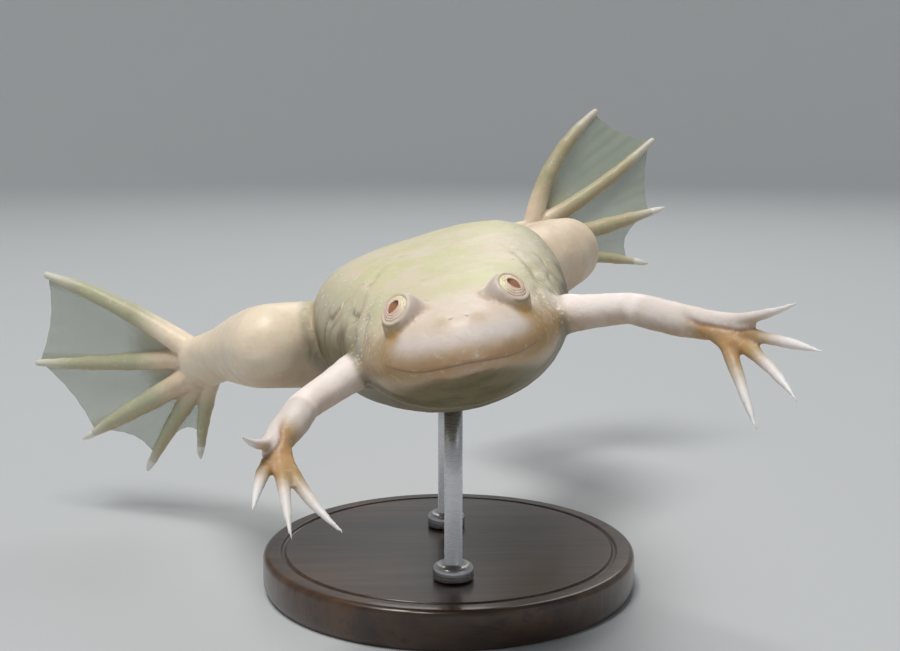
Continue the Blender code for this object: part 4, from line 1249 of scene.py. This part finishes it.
# %% [markdown]
# ## The stand
# A swimming animal needs something that holds it up. Museums use a turned wooden base and thin
# steel rods which end at the belly. Both are turned forms: a profile of radius and height, carried
# round an upright axis, as on a lathe.

# %% Sizes of the stand, and the lathe
BASE_RADIUS, BASE_THICKNESS, BASE_EDGE = 24.0, 5.0, 0.8
GROOVE_RADIUS, GROOVE_WIDTH = 21.4, 0.35
ROD_RADIUS, COLLAR_RADIUS, COLLAR_HEIGHT = 1.1, 2.5, 1.8
ROD_GAP = 0.3
# The rods go this much higher than their solids, into the belly, so that no gap shows
ROD_REACH = 0.5
RODS = {"front": -13.0, "rear": 8.0}


def arc(middle, radius, start, end, count=7):
    """Points of radius and height on a circle round the middle, from one angle to the other."""
    angle = np.radians(np.linspace(start, end, count))
    return [(middle[0] + radius * math.cos(a), middle[1] + radius * math.sin(a)) for a in angle]


def lathe(name, profile, place, columns=128):
    """Ring i of the grid is place + (r_i cos a, r_i sin a, h_i); both ends close in a pole."""
    radius, height = np.array(profile, float).T
    angle = np.linspace(0, 2 * np.pi, columns, endpoint=False)
    ring = np.stack((np.cos(angle), np.sin(angle), np.zeros(columns)), axis=-1)
    flat, up = radius[:, None, None] * ring[None], height[:, None, None] * np.array((0, 0, 1.0))
    grid = flat + up + np.array(place)
    made = mesh_from_surfaces(name, [closed_grid(grid)])
    write_points(made.data, read_points(made.data) * MM)
    return made


print("rods:", list(RODS))

# %% Turn the base and the rods
edge = BASE_RADIUS - BASE_EDGE
top = BASE_THICKNESS - BASE_EDGE
base_profile = [(edge - 2, 0)] + arc((edge, BASE_EDGE / 2), BASE_EDGE / 2, -90, -20) + [(BASE_RADIUS, 1.2)]
base_profile += arc((edge, top), BASE_EDGE, 0, 90) + [(GROOVE_RADIUS + GROOVE_WIDTH + 0.1, BASE_THICKNESS)]
base_profile += arc((GROOVE_RADIUS, BASE_THICKNESS), GROOVE_WIDTH, 0, -180)
base_profile += [(GROOVE_RADIUS - GROOVE_WIDTH - 0.1, BASE_THICKNESS)]
base_profile += [(radius, BASE_THICKNESS) for radius in (18, 12, 6, 2)]
base = lathe("wood_base", base_profile, (0, 0, 0))
rods = {}
for name, place in RODS.items():
    foot = BASE_THICKNESS + ROD_GAP / 2
    collar = foot + COLLAR_HEIGHT
    rod_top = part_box("stand_rod_" + name)[1][2] / MM + ROD_REACH
    profile = [(COLLAR_RADIUS - 0.2, foot)] + arc((COLLAR_RADIUS - 0.2, foot + 0.2), 0.2, -90, 0, 5)
    profile += arc((COLLAR_RADIUS - 0.7, collar - 0.7), 0.7, 0, 90, 9) + [(ROD_RADIUS + 0.15, collar)]
    profile += [(ROD_RADIUS, collar + 0.15), (ROD_RADIUS, (collar + rod_top) / 2), (ROD_RADIUS, rod_top)]
    rods[name] = lathe("steel_rod_" + name, profile, (0, place, 0), 48)
    print("rod", name, "from", round(foot, 2), "to", round(rod_top, 2), "mm")

# %% [markdown]
# ## Into the frame
# Every piece so far is in the animal's own millimetres. Its points now go to their place in the
# frame, so that each object stays at the origin, unturned. The skin stands for all CAD nodes of
# flesh; the replaced solids stay in the scene, hidden, on their bodies.

# %% Place the pieces and say what they stand for
FLESH_NODES = ["head", "trunk"] + [
    part + "_" + side for part in ("upper_arm", "forearm", "hand", "thigh", "shank", "foot")
    for side in SIDES]


def place_piece(made, slot, *nodes):
    """Ride on the body and stand for the CAD nodes, which are hidden. The slot is not used."""
    made.data.shade_smooth()
    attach(made, "root")
    if nodes:
        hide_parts(*nodes)


for piece in [skin, stitches, *webs.values(), *eyes.values(), *claws.values()]:
    write_points(piece.data, to_frame(read_points(piece.data)))
place_piece(skin, "back_skin", *FLESH_NODES)
place_piece(stitches, "back_skin")
for side in SIDES:
    place_piece(webs[side], "web_skin")
    place_piece(eyes[side], "eye", "eye_" + side)
for (side, toe), claw in claws.items():
    place_piece(claw, "claw", "claw_%s_%d" % (side, toe + 1))
place_piece(base, "dark_wood", "stand_base")
for name, rod in rods.items():
    place_piece(rod, "rod_metal", "stand_rod_" + name)
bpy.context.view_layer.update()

# %% [markdown]
# ## Finishes
# A few helpers keep the node trees short. Colours are linear. All patterns are procedural and read
# Object coordinates, the eyes' UV, or the marks on the skin's vertices.

# %% Nodes, links and arithmetic
def join(tree, value, socket):
    """A link where the value is another node's socket, and else the socket's own number."""
    if isinstance(value, bpy.types.NodeSocket):
        tree.links.new(value, socket)
    elif hasattr(value, "__len__") and len(value) == 3 and socket.type == "RGBA":
        socket.default_value = (*value, 1)
    else:
        socket.default_value = value


def add_node(tree, kind, inputs=None, **settings):
    """A node with its settings, and its inputs by name or place."""
    made = tree.nodes.new("ShaderNode" + kind)
    for name, value in settings.items():
        setattr(made, name, value)
    for name, value in (inputs or {}).items():
        join(tree, value, made.inputs[name])
    return made


def mix(tree, factor, first, second):
    """The second colour laid over the first, as much as the factor says."""
    made = add_node(tree, "Mix", {0: factor}, data_type="RGBA")
    join(tree, first, made.inputs[6])
    join(tree, second, made.inputs[7])
    return made.outputs[2]


def calculate(tree, operation, *values):
    """One step of arithmetic."""
    return add_node(tree, "Math", dict(enumerate(values)), operation=operation).outputs[0]


def times(tree, first, second):
    """The product of two values."""
    return calculate(tree, "MULTIPLY", first, second)


def between(tree, value, low, high, start=0.0, end=1.0):
    """Runs softly from start to end as the value goes from low to high."""
    inputs = {"Value": value, "From Min": low, "From Max": high, "To Min": start, "To Max": end}
    return add_node(tree, "MapRange", inputs, interpolation_type="SMOOTHSTEP").outputs["Result"]


print("helpers for nodes and arithmetic ready")

# %% Places, patterns and marks
def noise(tree, place, scale, detail=2.0, roughness=0.5):
    """Blender's noise, from 0 to 1; the scale is in lumps a metre."""
    inputs = {"Vector": place, "Scale": scale, "Detail": detail, "Roughness": roughness}
    return add_node(tree, "TexNoise", inputs).outputs["Fac"]


def object_place(tree):
    """Object coordinates, which are the frame's metres."""
    return add_node(tree, "TexCoord").outputs["Object"]


def stretched(tree, place, scale):
    """The place, scaled on each axis by itself, which draws a noise out into streaks."""
    return add_node(tree, "Mapping", {"Vector": place, "Scale": scale}).outputs["Vector"]


def read_uv(tree):
    """The piece's own UV as two numbers."""
    uv = add_node(tree, "SeparateXYZ", {0: add_node(tree, "TexCoord").outputs["UV"]})
    return uv.outputs["X"], uv.outputs["Y"]


def ripples(tree, distance, width, waver, amount):
    """Rings about a middle: a sine of the distance, one ring each width, with wavering edges."""
    turn = times(tree, distance, 2 * math.pi / width)
    wave = calculate(tree, "SINE", calculate(tree, "MULTIPLY_ADD", waver, amount, turn))
    return calculate(tree, "MULTIPLY_ADD", wave, 0.5, 0.5)


def bump_normal(tree, height, strength, distance):
    """The normal, tilted by a height pattern; the distance is in metres."""
    bump = add_node(tree, "Bump", {"Height": height, "Strength": strength, "Distance": distance})
    return bump.outputs["Normal"]


def mark(tree, name):
    """A number that the mesh carries on its vertices."""
    return add_node(tree, "Attribute", attribute_name=name).outputs["Fac"]


print("helpers for patterns ready")

# %% Materials
def new_material(name):
    """An empty material with its output, and the tree to build it in."""
    made = bpy.data.materials.new(name)
    made.use_nodes = True
    made.node_tree.nodes.clear()
    return made, made.node_tree


def finish_material(tree, inputs):
    """The Principled shader with these inputs, joined to the output."""
    shader = add_node(tree, "BsdfPrincipled", inputs)
    output = add_node(tree, "OutputMaterial")
    tree.links.new(shader.outputs[0], output.inputs["Surface"])


def paint(made, material):
    """The material alone on the whole piece."""
    made.data.materials.clear()
    made.data.materials.append(material)


print("materials so far:", len(bpy.data.materials))

# %% [markdown]
# ## Skin
# Frog skin is thin, moist and a little see-through, so light goes in and comes out redder. Its
# grain is finer than a tenth of a millimetre. The grain is a node group, because the skin, the
# stitches and the webs share it.

# %% The skin's grain
grain = bpy.data.node_groups.new("skin grain", "ShaderNodeTree")
for name, kind, way in (("Place", "NodeSocketVector", "INPUT"), ("Height", "NodeSocketFloat", "OUTPUT"),
                        ("Mottle", "NodeSocketFloat", "OUTPUT"), ("Pores", "NodeSocketFloat", "OUTPUT")):
    grain.interface.new_socket(name, in_out=way, socket_type=kind)
grain_place = grain.nodes.new("NodeGroupInput").outputs["Place"]
grain_output = grain.nodes.new("NodeGroupOutput")
bumps = add_node(grain, "TexVoronoi", {"Vector": grain_place, "Scale": 1900.0}, feature="SMOOTH_F1")
fine = noise(grain, grain_place, 1500.0, 4.0, 0.6)
coarse = noise(grain, grain_place, 420.0, 3.0)
rough = calculate(grain, "ADD", fine, coarse)
height = calculate(grain, "MULTIPLY_ADD", bumps.outputs["Distance"], -0.5, rough)
grain.links.new(height, grain_output.inputs["Height"])
mottle = between(grain, noise(grain, grain_place, 230.0, 4.0, 0.62), 0.32, 0.68)
grain.links.new(mottle, grain_output.inputs["Mottle"])
pores = between(grain, noise(grain, grain_place, 1300.0, 2.0), 0.58, 0.72)
grain.links.new(pores, grain_output.inputs["Pores"])


def skin_grain(tree):
    """The group, reading Object coordinates."""
    place = object_place(tree)
    made = tree.nodes.new("ShaderNodeGroup")
    made.node_tree = grain
    tree.links.new(place, made.inputs["Place"])
    return made.outputs, place


print("group:", grain.name, "with", len(grain.nodes), "nodes")

# %% Skin's colours
# Face, crown, arms, legs, toes and pale tips are the skin's own colours. The paler upper arm and a pale
# band on the snout are painted highlight. Flanks, belly, the face's lower sides, the eye turrets'
# grey-brown, and the ochre, orange, red and brown marks are painted shade, apart from an ochre patch by
# each nostril; the pale tips also carry a painted glint on each nostril.
SKIN_COLOURS = {
    "face": (0.76, 0.65, 0.55), "crown": (0.65, 0.63, 0.38), "arm": (0.74, 0.67, 0.63),
    "upper_arm": (0.95, 0.86, 0.83), "leg": (0.88, 0.75, 0.58), "flank": (0.47, 0.45, 0.32),
    "toes": (0.45, 0.46, 0.30), "belly": (0.14, 0.12, 0.05), "cheek": (0.43, 0.29, 0.14),
    "muzzle": (0.80, 0.74, 0.74), "shade": (0.46, 0.36, 0.31), "ochre": (0.38, 0.25, 0.07),
    "warm": (0.46, 0.24, 0.08), "red": (0.36, 0.13, 0.08), "tips": (0.84, 0.84, 0.85),
    "crease": (0.38, 0.24, 0.15), "amber": (0.52, 0.30, 0.08),
}
SKIN_STRENGTHS = {"flank": 0.75, "cheek": 0.95, "muzzle": 0.6, "shade": 0.4, "ochre": 0.85,
                  "warm": 0.9, "red": 0.6, "tips": 0.8, "crease": 0.4, "amber": 0.85}
LID_RING_WIDTH = 0.2
print("skin colours:", len(SKIN_COLOURS))

# %% [markdown]
# ## The skin's paint
# The colours are laid over each other in the order of the list, each as strong as its mark. Broken
# edges come from a mottle and from patches, because real skin has no even borders. The fine rings of
# the lids, a dark line of painted shade round the eye, pale warts on the shoulders with tops painted
# whitish like wet glints, and a dark line of painted shade along the mouth come last, since they lie
# over all the rest.

# %% Paint the skin
skin_paint, tree = new_material("frog_skin")
patterns, place = skin_grain(tree)
colour = SKIN_COLOURS["face"]
uneven = between(tree, patterns["Mottle"], 0, 1, 0.75, 1.1)
patches = between(tree, noise(tree, place, 140.0, 3.0, 0.6), 0.42, 0.62, 0, 0.65)
for name in list(SKIN_COLOURS)[1:]:
    amount = times(tree, mark(tree, name), SKIN_STRENGTHS.get(name, 1.0))
    if name == "crown":
        amount = calculate(tree, "SUBTRACT", amount, times(tree, amount, patches))
    if name in ("ochre", "warm"):
        amount = times(tree, amount, uneven)
    colour = mix(tree, amount, colour, SKIN_COLOURS[name])
colour = mix(tree, between(tree, patterns["Mottle"], 0, 1, 0.0, 0.16), colour, (0.55, 0.40, 0.27))
pores = times(tree, patterns["Pores"], between(tree, mark(tree, "belly"), 0, 0.6, 0.2, 0))
colour = mix(tree, pores, colour, (0.86, 0.82, 0.74))

ring = mark(tree, "eye_ring")
lid = times(tree, between(tree, ring, 1.36, 1.48), between(tree, ring, 1.74, 1.98, 1, 0))
ridges = times(tree, ripples(tree, ring, LID_RING_WIDTH, patterns["Mottle"], 7.0), lid)
colour = mix(tree, times(tree, lid, 0.75), colour, (0.62, 0.48, 0.36))
colour = mix(tree, times(tree, ridges, 0.7), colour, (0.84, 0.74, 0.60))
# Painted shade: a dark line in the groove round the eye.
colour = mix(tree, between(tree, mark(tree, "eye_line"), 0.03, 0.2, 0.8, 0), colour, (0.31, 0.26, 0.16))

cells = add_node(tree, "TexVoronoi", {"Vector": place, "Scale": 1500.0}).outputs["Distance"]
# Pale warts on the shoulders; their tops are painted whitish, as wet glints.
warts = times(tree, between(tree, cells, 0.12, 0.36, 1, 0), mark(tree, "grains"))
colour = mix(tree, times(tree, warts, 0.55), colour, (0.90, 0.86, 0.80))
# Painted shade: a dark brown line in the groove of the mouth.
mouth_crease_shade = between(tree, mark(tree, "mouth"), 0.04, 0.2, 0.75, 0)
colour = mix(tree, mouth_crease_shade, colour, (0.27, 0.14, 0.06))

height = calculate(tree, "ADD", patterns["Height"], calculate(tree, "MULTIPLY_ADD", warts, 1.2, ridges))
finish_material(tree, {
    "Base Color": colour, "Roughness": between(tree, patterns["Mottle"], 0, 1, 0.46, 0.56),
    "Normal": bump_normal(tree, height, 0.5, 0.00009), "Coat Weight": 0.12, "Coat Roughness": 0.3,
    "Subsurface Weight": 0.22, "Subsurface Radius": (1.0, 0.42, 0.22), "Subsurface Scale": 0.0009,
})
paint(skin, skin_paint)
print("skin's nodes:", len(tree.nodes))

# %% [markdown]
# ## Stitches, webs and claws
# The stitches are skin a little paler than the flank. A web lets about half the light through in
# its middle, and is thicker and yellower along the toes and at its root, which the UV tells. The
# claws are pale horn with a hard gloss.

# %% Paint the stitches, webs and claws
stitch_paint, tree = new_material("stitch_skin")
patterns, _ = skin_grain(tree)
colour = mix(tree, patterns["Mottle"], (0.68, 0.65, 0.50), (0.78, 0.75, 0.62))
finish_material(tree, {
    "Base Color": colour, "Roughness": 0.5, "Coat Weight": 0.15, "Coat Roughness": 0.25,
})
paint(stitches, stitch_paint)

web_paint, tree = new_material("web_skin")
patterns, _ = skin_grain(tree)
u, v = read_uv(tree)
near_toe = between(tree, calculate(tree, "ABSOLUTE", calculate(tree, "SUBTRACT", u, 0.5)), 0.33, 0.5)
root = between(tree, v, 0.05, 0.45, 1, 0)
thick = calculate(tree, "MAXIMUM", near_toe, root)
colour = mix(tree, patterns["Mottle"], (0.33, 0.40, 0.29), (0.38, 0.44, 0.33))
colour = mix(tree, thick, colour, (0.50, 0.48, 0.34))
finish_material(tree, {
    "Base Color": colour, "Roughness": 0.4, "Alpha": between(tree, thick, 0, 1, 0.4, 0.8),
    "Normal": bump_normal(tree, patterns["Height"], 0.2, 0.00005), "Coat Weight": 0.2,
    "Coat Roughness": 0.2,
})
for web in webs.values():
    paint(web, web_paint)

horn_paint, tree = new_material("pale_horn")
colour = mix(tree, noise(tree, object_place(tree), 700.0, 3.0), (0.70, 0.66, 0.56), (0.82, 0.80, 0.74))
finish_material(tree, {
    "Base Color": colour, "Roughness": 0.28, "Coat Weight": 0.4, "Coat Roughness": 0.1,
    "Subsurface Weight": 0.2, "Subsurface Radius": (1.0, 0.6, 0.4), "Subsurface Scale": 0.0006,
})
for claw in claws.values():
    paint(claw, horn_paint)
print("webs and claws painted")

# %% [markdown]
# ## The eye's face
# UV holds the place on the eye's disc, from -1 to 1 in both ways. The pupil is the same almond as
# in the mesh, darker at its upper end, in the lid's shade. Pale threads ring it, and they are as
# pink as the skin, so the eye passes into its lid almost unseen. Its upper inner end is yellower.

# %% Paint the eyes
IRIS_RING_WIDTH = 0.13

eye_paint, tree = new_material("wet_eye")
u, v = (calculate(tree, "MULTIPLY_ADD", part, 2.0, -1.0) for part in read_uv(tree))
place = object_place(tree)
fibres = noise(tree, place, 1500.0, 3.0)
bow = calculate(tree, "POWER", calculate(tree, "DIVIDE", u, PUPIL_LENGTH), 2.0)
width = calculate(tree, "MULTIPLY_ADD", u, PUPIL_WIDTH / 2, PUPIL_WIDTH)
across = calculate(tree, "DIVIDE", calculate(tree, "ABSOLUTE", v), width)
inside = calculate(tree, "ADD", calculate(tree, "POWER", across, PUPIL_ROUNDING), bow)
out = calculate(tree, "SQRT", calculate(tree, "ADD", times(tree, u, u), times(tree, v, v)))
rings = ripples(tree, out, IRIS_RING_WIDTH, fibres, 9.0)
valley = mix(tree, between(tree, u, -0.3, 0.6), (0.56, 0.38, 0.30), (0.58, 0.48, 0.30))
ridge = mix(tree, between(tree, u, -0.2, 0.5), (0.84, 0.66, 0.56), (0.88, 0.80, 0.54))
rubbed = calculate(tree, "ADD", rings, between(tree, noise(tree, place, 900.0), 0.4, 0.65, 0, 0.7))
iris = mix(tree, between(tree, rubbed, 0.0, 0.6), valley, ridge)
iris = mix(tree, between(tree, inside, 1.05, 2.4, 0.9, 0), iris, (0.82, 0.60, 0.48))
flecks = between(tree, noise(tree, place, 3200.0, 2.0), 0.52, 0.66, 0, 0.6)
iris = mix(tree, times(tree, flecks, between(tree, u, -0.3, 0.4)), iris, (0.55, 0.45, 0.26))
pupil = mix(tree, flecks, (0.36, 0.16, 0.08), (0.26, 0.12, 0.04))
pupil = mix(tree, between(tree, u, 0.1, 0.38), pupil, (0.10, 0.045, 0.03))
pupil = mix(tree, between(tree, inside, 0.75, 0.98, 0, 0.5), pupil, (0.16, 0.07, 0.04))
in_pupil = between(tree, inside, 0.88, 1.08, 1, 0)
height = mix(tree, in_pupil, rings, (0.0, 0.0, 0.0))
finish_material(tree, {
    "Base Color": mix(tree, in_pupil, iris, pupil), "Roughness": 0.42,
    "Normal": bump_normal(tree, height, 0.5, 0.00008), "Coat Weight": 0.15, "Coat Roughness": 0.35,
    "Subsurface Weight": 0.1, "Subsurface Scale": 0.0005,
})
for eye in eyes.values():
    paint(eye, eye_paint)
print("eyes painted")

# %% [markdown]
# ## Wood and steel
# The base is dark stained wood under satin varnish: its grain runs along X, as long streaks of
# noise. The rods are brushed steel, whose fine lines run round them from the lathe.

# %% Paint the stand
wood_paint, tree = new_material("dark_wood")
place = object_place(tree)
streaks = noise(tree, stretched(tree, place, (14.0, 160.0, 60.0)), 2.2, 6.0, 0.62)
pores = noise(tree, stretched(tree, place, (90.0, 1500.0, 700.0)), 1.2, 2.0)
colour = mix(tree, between(tree, streaks, 0.35, 0.68), (0.030, 0.014, 0.007), (0.085, 0.040, 0.018))
colour = mix(tree, between(tree, pores, 0.56, 0.7, 0, 0.6), colour, (0.014, 0.007, 0.004))
finish_material(tree, {
    "Base Color": colour, "Roughness": 0.34, "Normal": bump_normal(tree, pores, 0.15, 0.00008),
    "Coat Weight": 0.5, "Coat Roughness": 0.12,
})
paint(base, wood_paint)

steel_paint, tree = new_material("brushed_steel")
lines = noise(tree, stretched(tree, object_place(tree), (40.0, 40.0, 5200.0)), 1.0, 2.0)
finish_material(tree, {
    "Base Color": mix(tree, lines, (0.57, 0.57, 0.59), (0.66, 0.66, 0.68)), "Metallic": 1.0,
    "Roughness": between(tree, lines, 0.3, 0.7, 0.22, 0.34),
})
for rod in rods.values():
    paint(rod, steel_paint)
print("stand painted")

# %% [markdown]
# ## Floor and light
# The floor curves up into a round wall far behind, so that no edge shows from any side. One large
# soft light stands high on the left as in the photo, a weaker one fills from the right, and one
# from behind draws the edges of the webs.

# %% Floor
FLOOR_FLAT, FLOOR_CURVE, WALL_HEIGHT = 0.8, 0.4, 1.3
FLOOR_RINGS, BEND_RINGS = 12, 24

flat = np.linspace(0.0001, FLOOR_FLAT, FLOOR_RINGS)
bend = np.radians(np.linspace(0, 90, BEND_RINGS + 1))[1:]
wall = FLOOR_FLAT + FLOOR_CURVE
radii = np.concatenate((flat, FLOOR_FLAT + FLOOR_CURVE * np.sin(bend), [wall]))[:, None]
levels = np.concatenate((0 * flat, FLOOR_CURVE * (1 - np.cos(bend)), [WALL_HEIGHT]))[:, None]
turn = np.linspace(0, 2 * np.pi, 97)
floor_grid = np.stack((radii * np.cos(turn), radii * np.sin(turn), levels + 0 * turn), axis=-1)
floor = open_grid_object("floor", [floor_grid])
floor.data.shade_smooth()
floor_paint, tree = new_material("pale_floor")
finish_material(tree, {"Base Color": (0.50, 0.52, 0.54, 1), "Roughness": 0.7})
paint(floor, floor_paint)
print("floor radius", FLOOR_FLAT, "m")

# %% Lights
# Name, place, width, power and colour
LIGHTS = (
    ("key", (-0.24, -0.24, 1.12), 0.5, 11.5, (1.0, 0.98, 0.94)),
    ("fill", (0.9, -0.8, 0.5), 0.8, 0.7, (0.95, 0.97, 1.0)),
    ("rim", (0.10, 0.50, 0.42), 0.30, 0.6, (1.0, 0.99, 0.97)),
)
ROOM_COLOUR, ROOM_STRENGTH = (0.92, 0.96, 1.0), 0.16

frog_middle = Vector((0, 0, 0.035))
for name, spot, size, power, colour in LIGHTS:
    lamp = bpy.data.lights.new(name, "AREA")
    lamp.size = size
    lamp.energy = power
    lamp.color = colour
    made = add_object(name, lamp)
    made.location = spot
    made.rotation_euler = (frog_middle - made.location).to_track_quat("-Z", "Y").to_euler()
world = bpy.data.worlds.new("room")
world.use_nodes = True
background = world.node_tree.nodes["Background"]
background.inputs["Color"].default_value = (*ROOM_COLOUR, 1)
background.inputs["Strength"].default_value = ROOM_STRENGTH
bpy.context.scene.world = world
bpy.context.scene.view_settings.view_transform = "Standard"
print("lights:", len(LIGHTS))

# %% [markdown]
# ## Camera
# The photo looks at the frog from the front and a little above. The view's direction was worked
# out from the places of the eyes, snout and fingertips in the photo, in the animal's own frame;
# the bank is added by the pose on the stand.

# %% Camera at the photo's angle
VIEW_RISE, VIEW_TURN = math.radians(9.5), math.radians(2.5)
VIEW_DISTANCE, VIEW_RIGHT, VIEW_UP = 140.0, 0.36, 3.04
VIEW_LENS, CLIP_START = 56.0, 0.01
BETWEEN_EYES = (0.0, 6.5, 5.7)

level_share = math.cos(VIEW_RISE)
forward = Vector((math.sin(VIEW_TURN) * level_share, math.cos(VIEW_TURN) * level_share,
                  -math.sin(VIEW_RISE)))
to_right = Vector((math.cos(VIEW_TURN), -math.sin(VIEW_TURN), 0))
upward = to_right.cross(forward)
aim = Vector(to_frame(BETWEEN_EYES)[0])
camera_data = bpy.data.cameras.new("camera")
camera_data.lens = VIEW_LENS
camera_data.clip_start = CLIP_START
camera = add_object("camera", camera_data)
camera.location = aim - (to_right * VIEW_RIGHT + upward * VIEW_UP + forward * VIEW_DISTANCE) * MM
camera.rotation_euler = Matrix((to_right, upward, -forward)).transposed().to_euler()
bpy.context.scene.camera = camera
print("camera at", [round(value, 4) for value in camera.location])
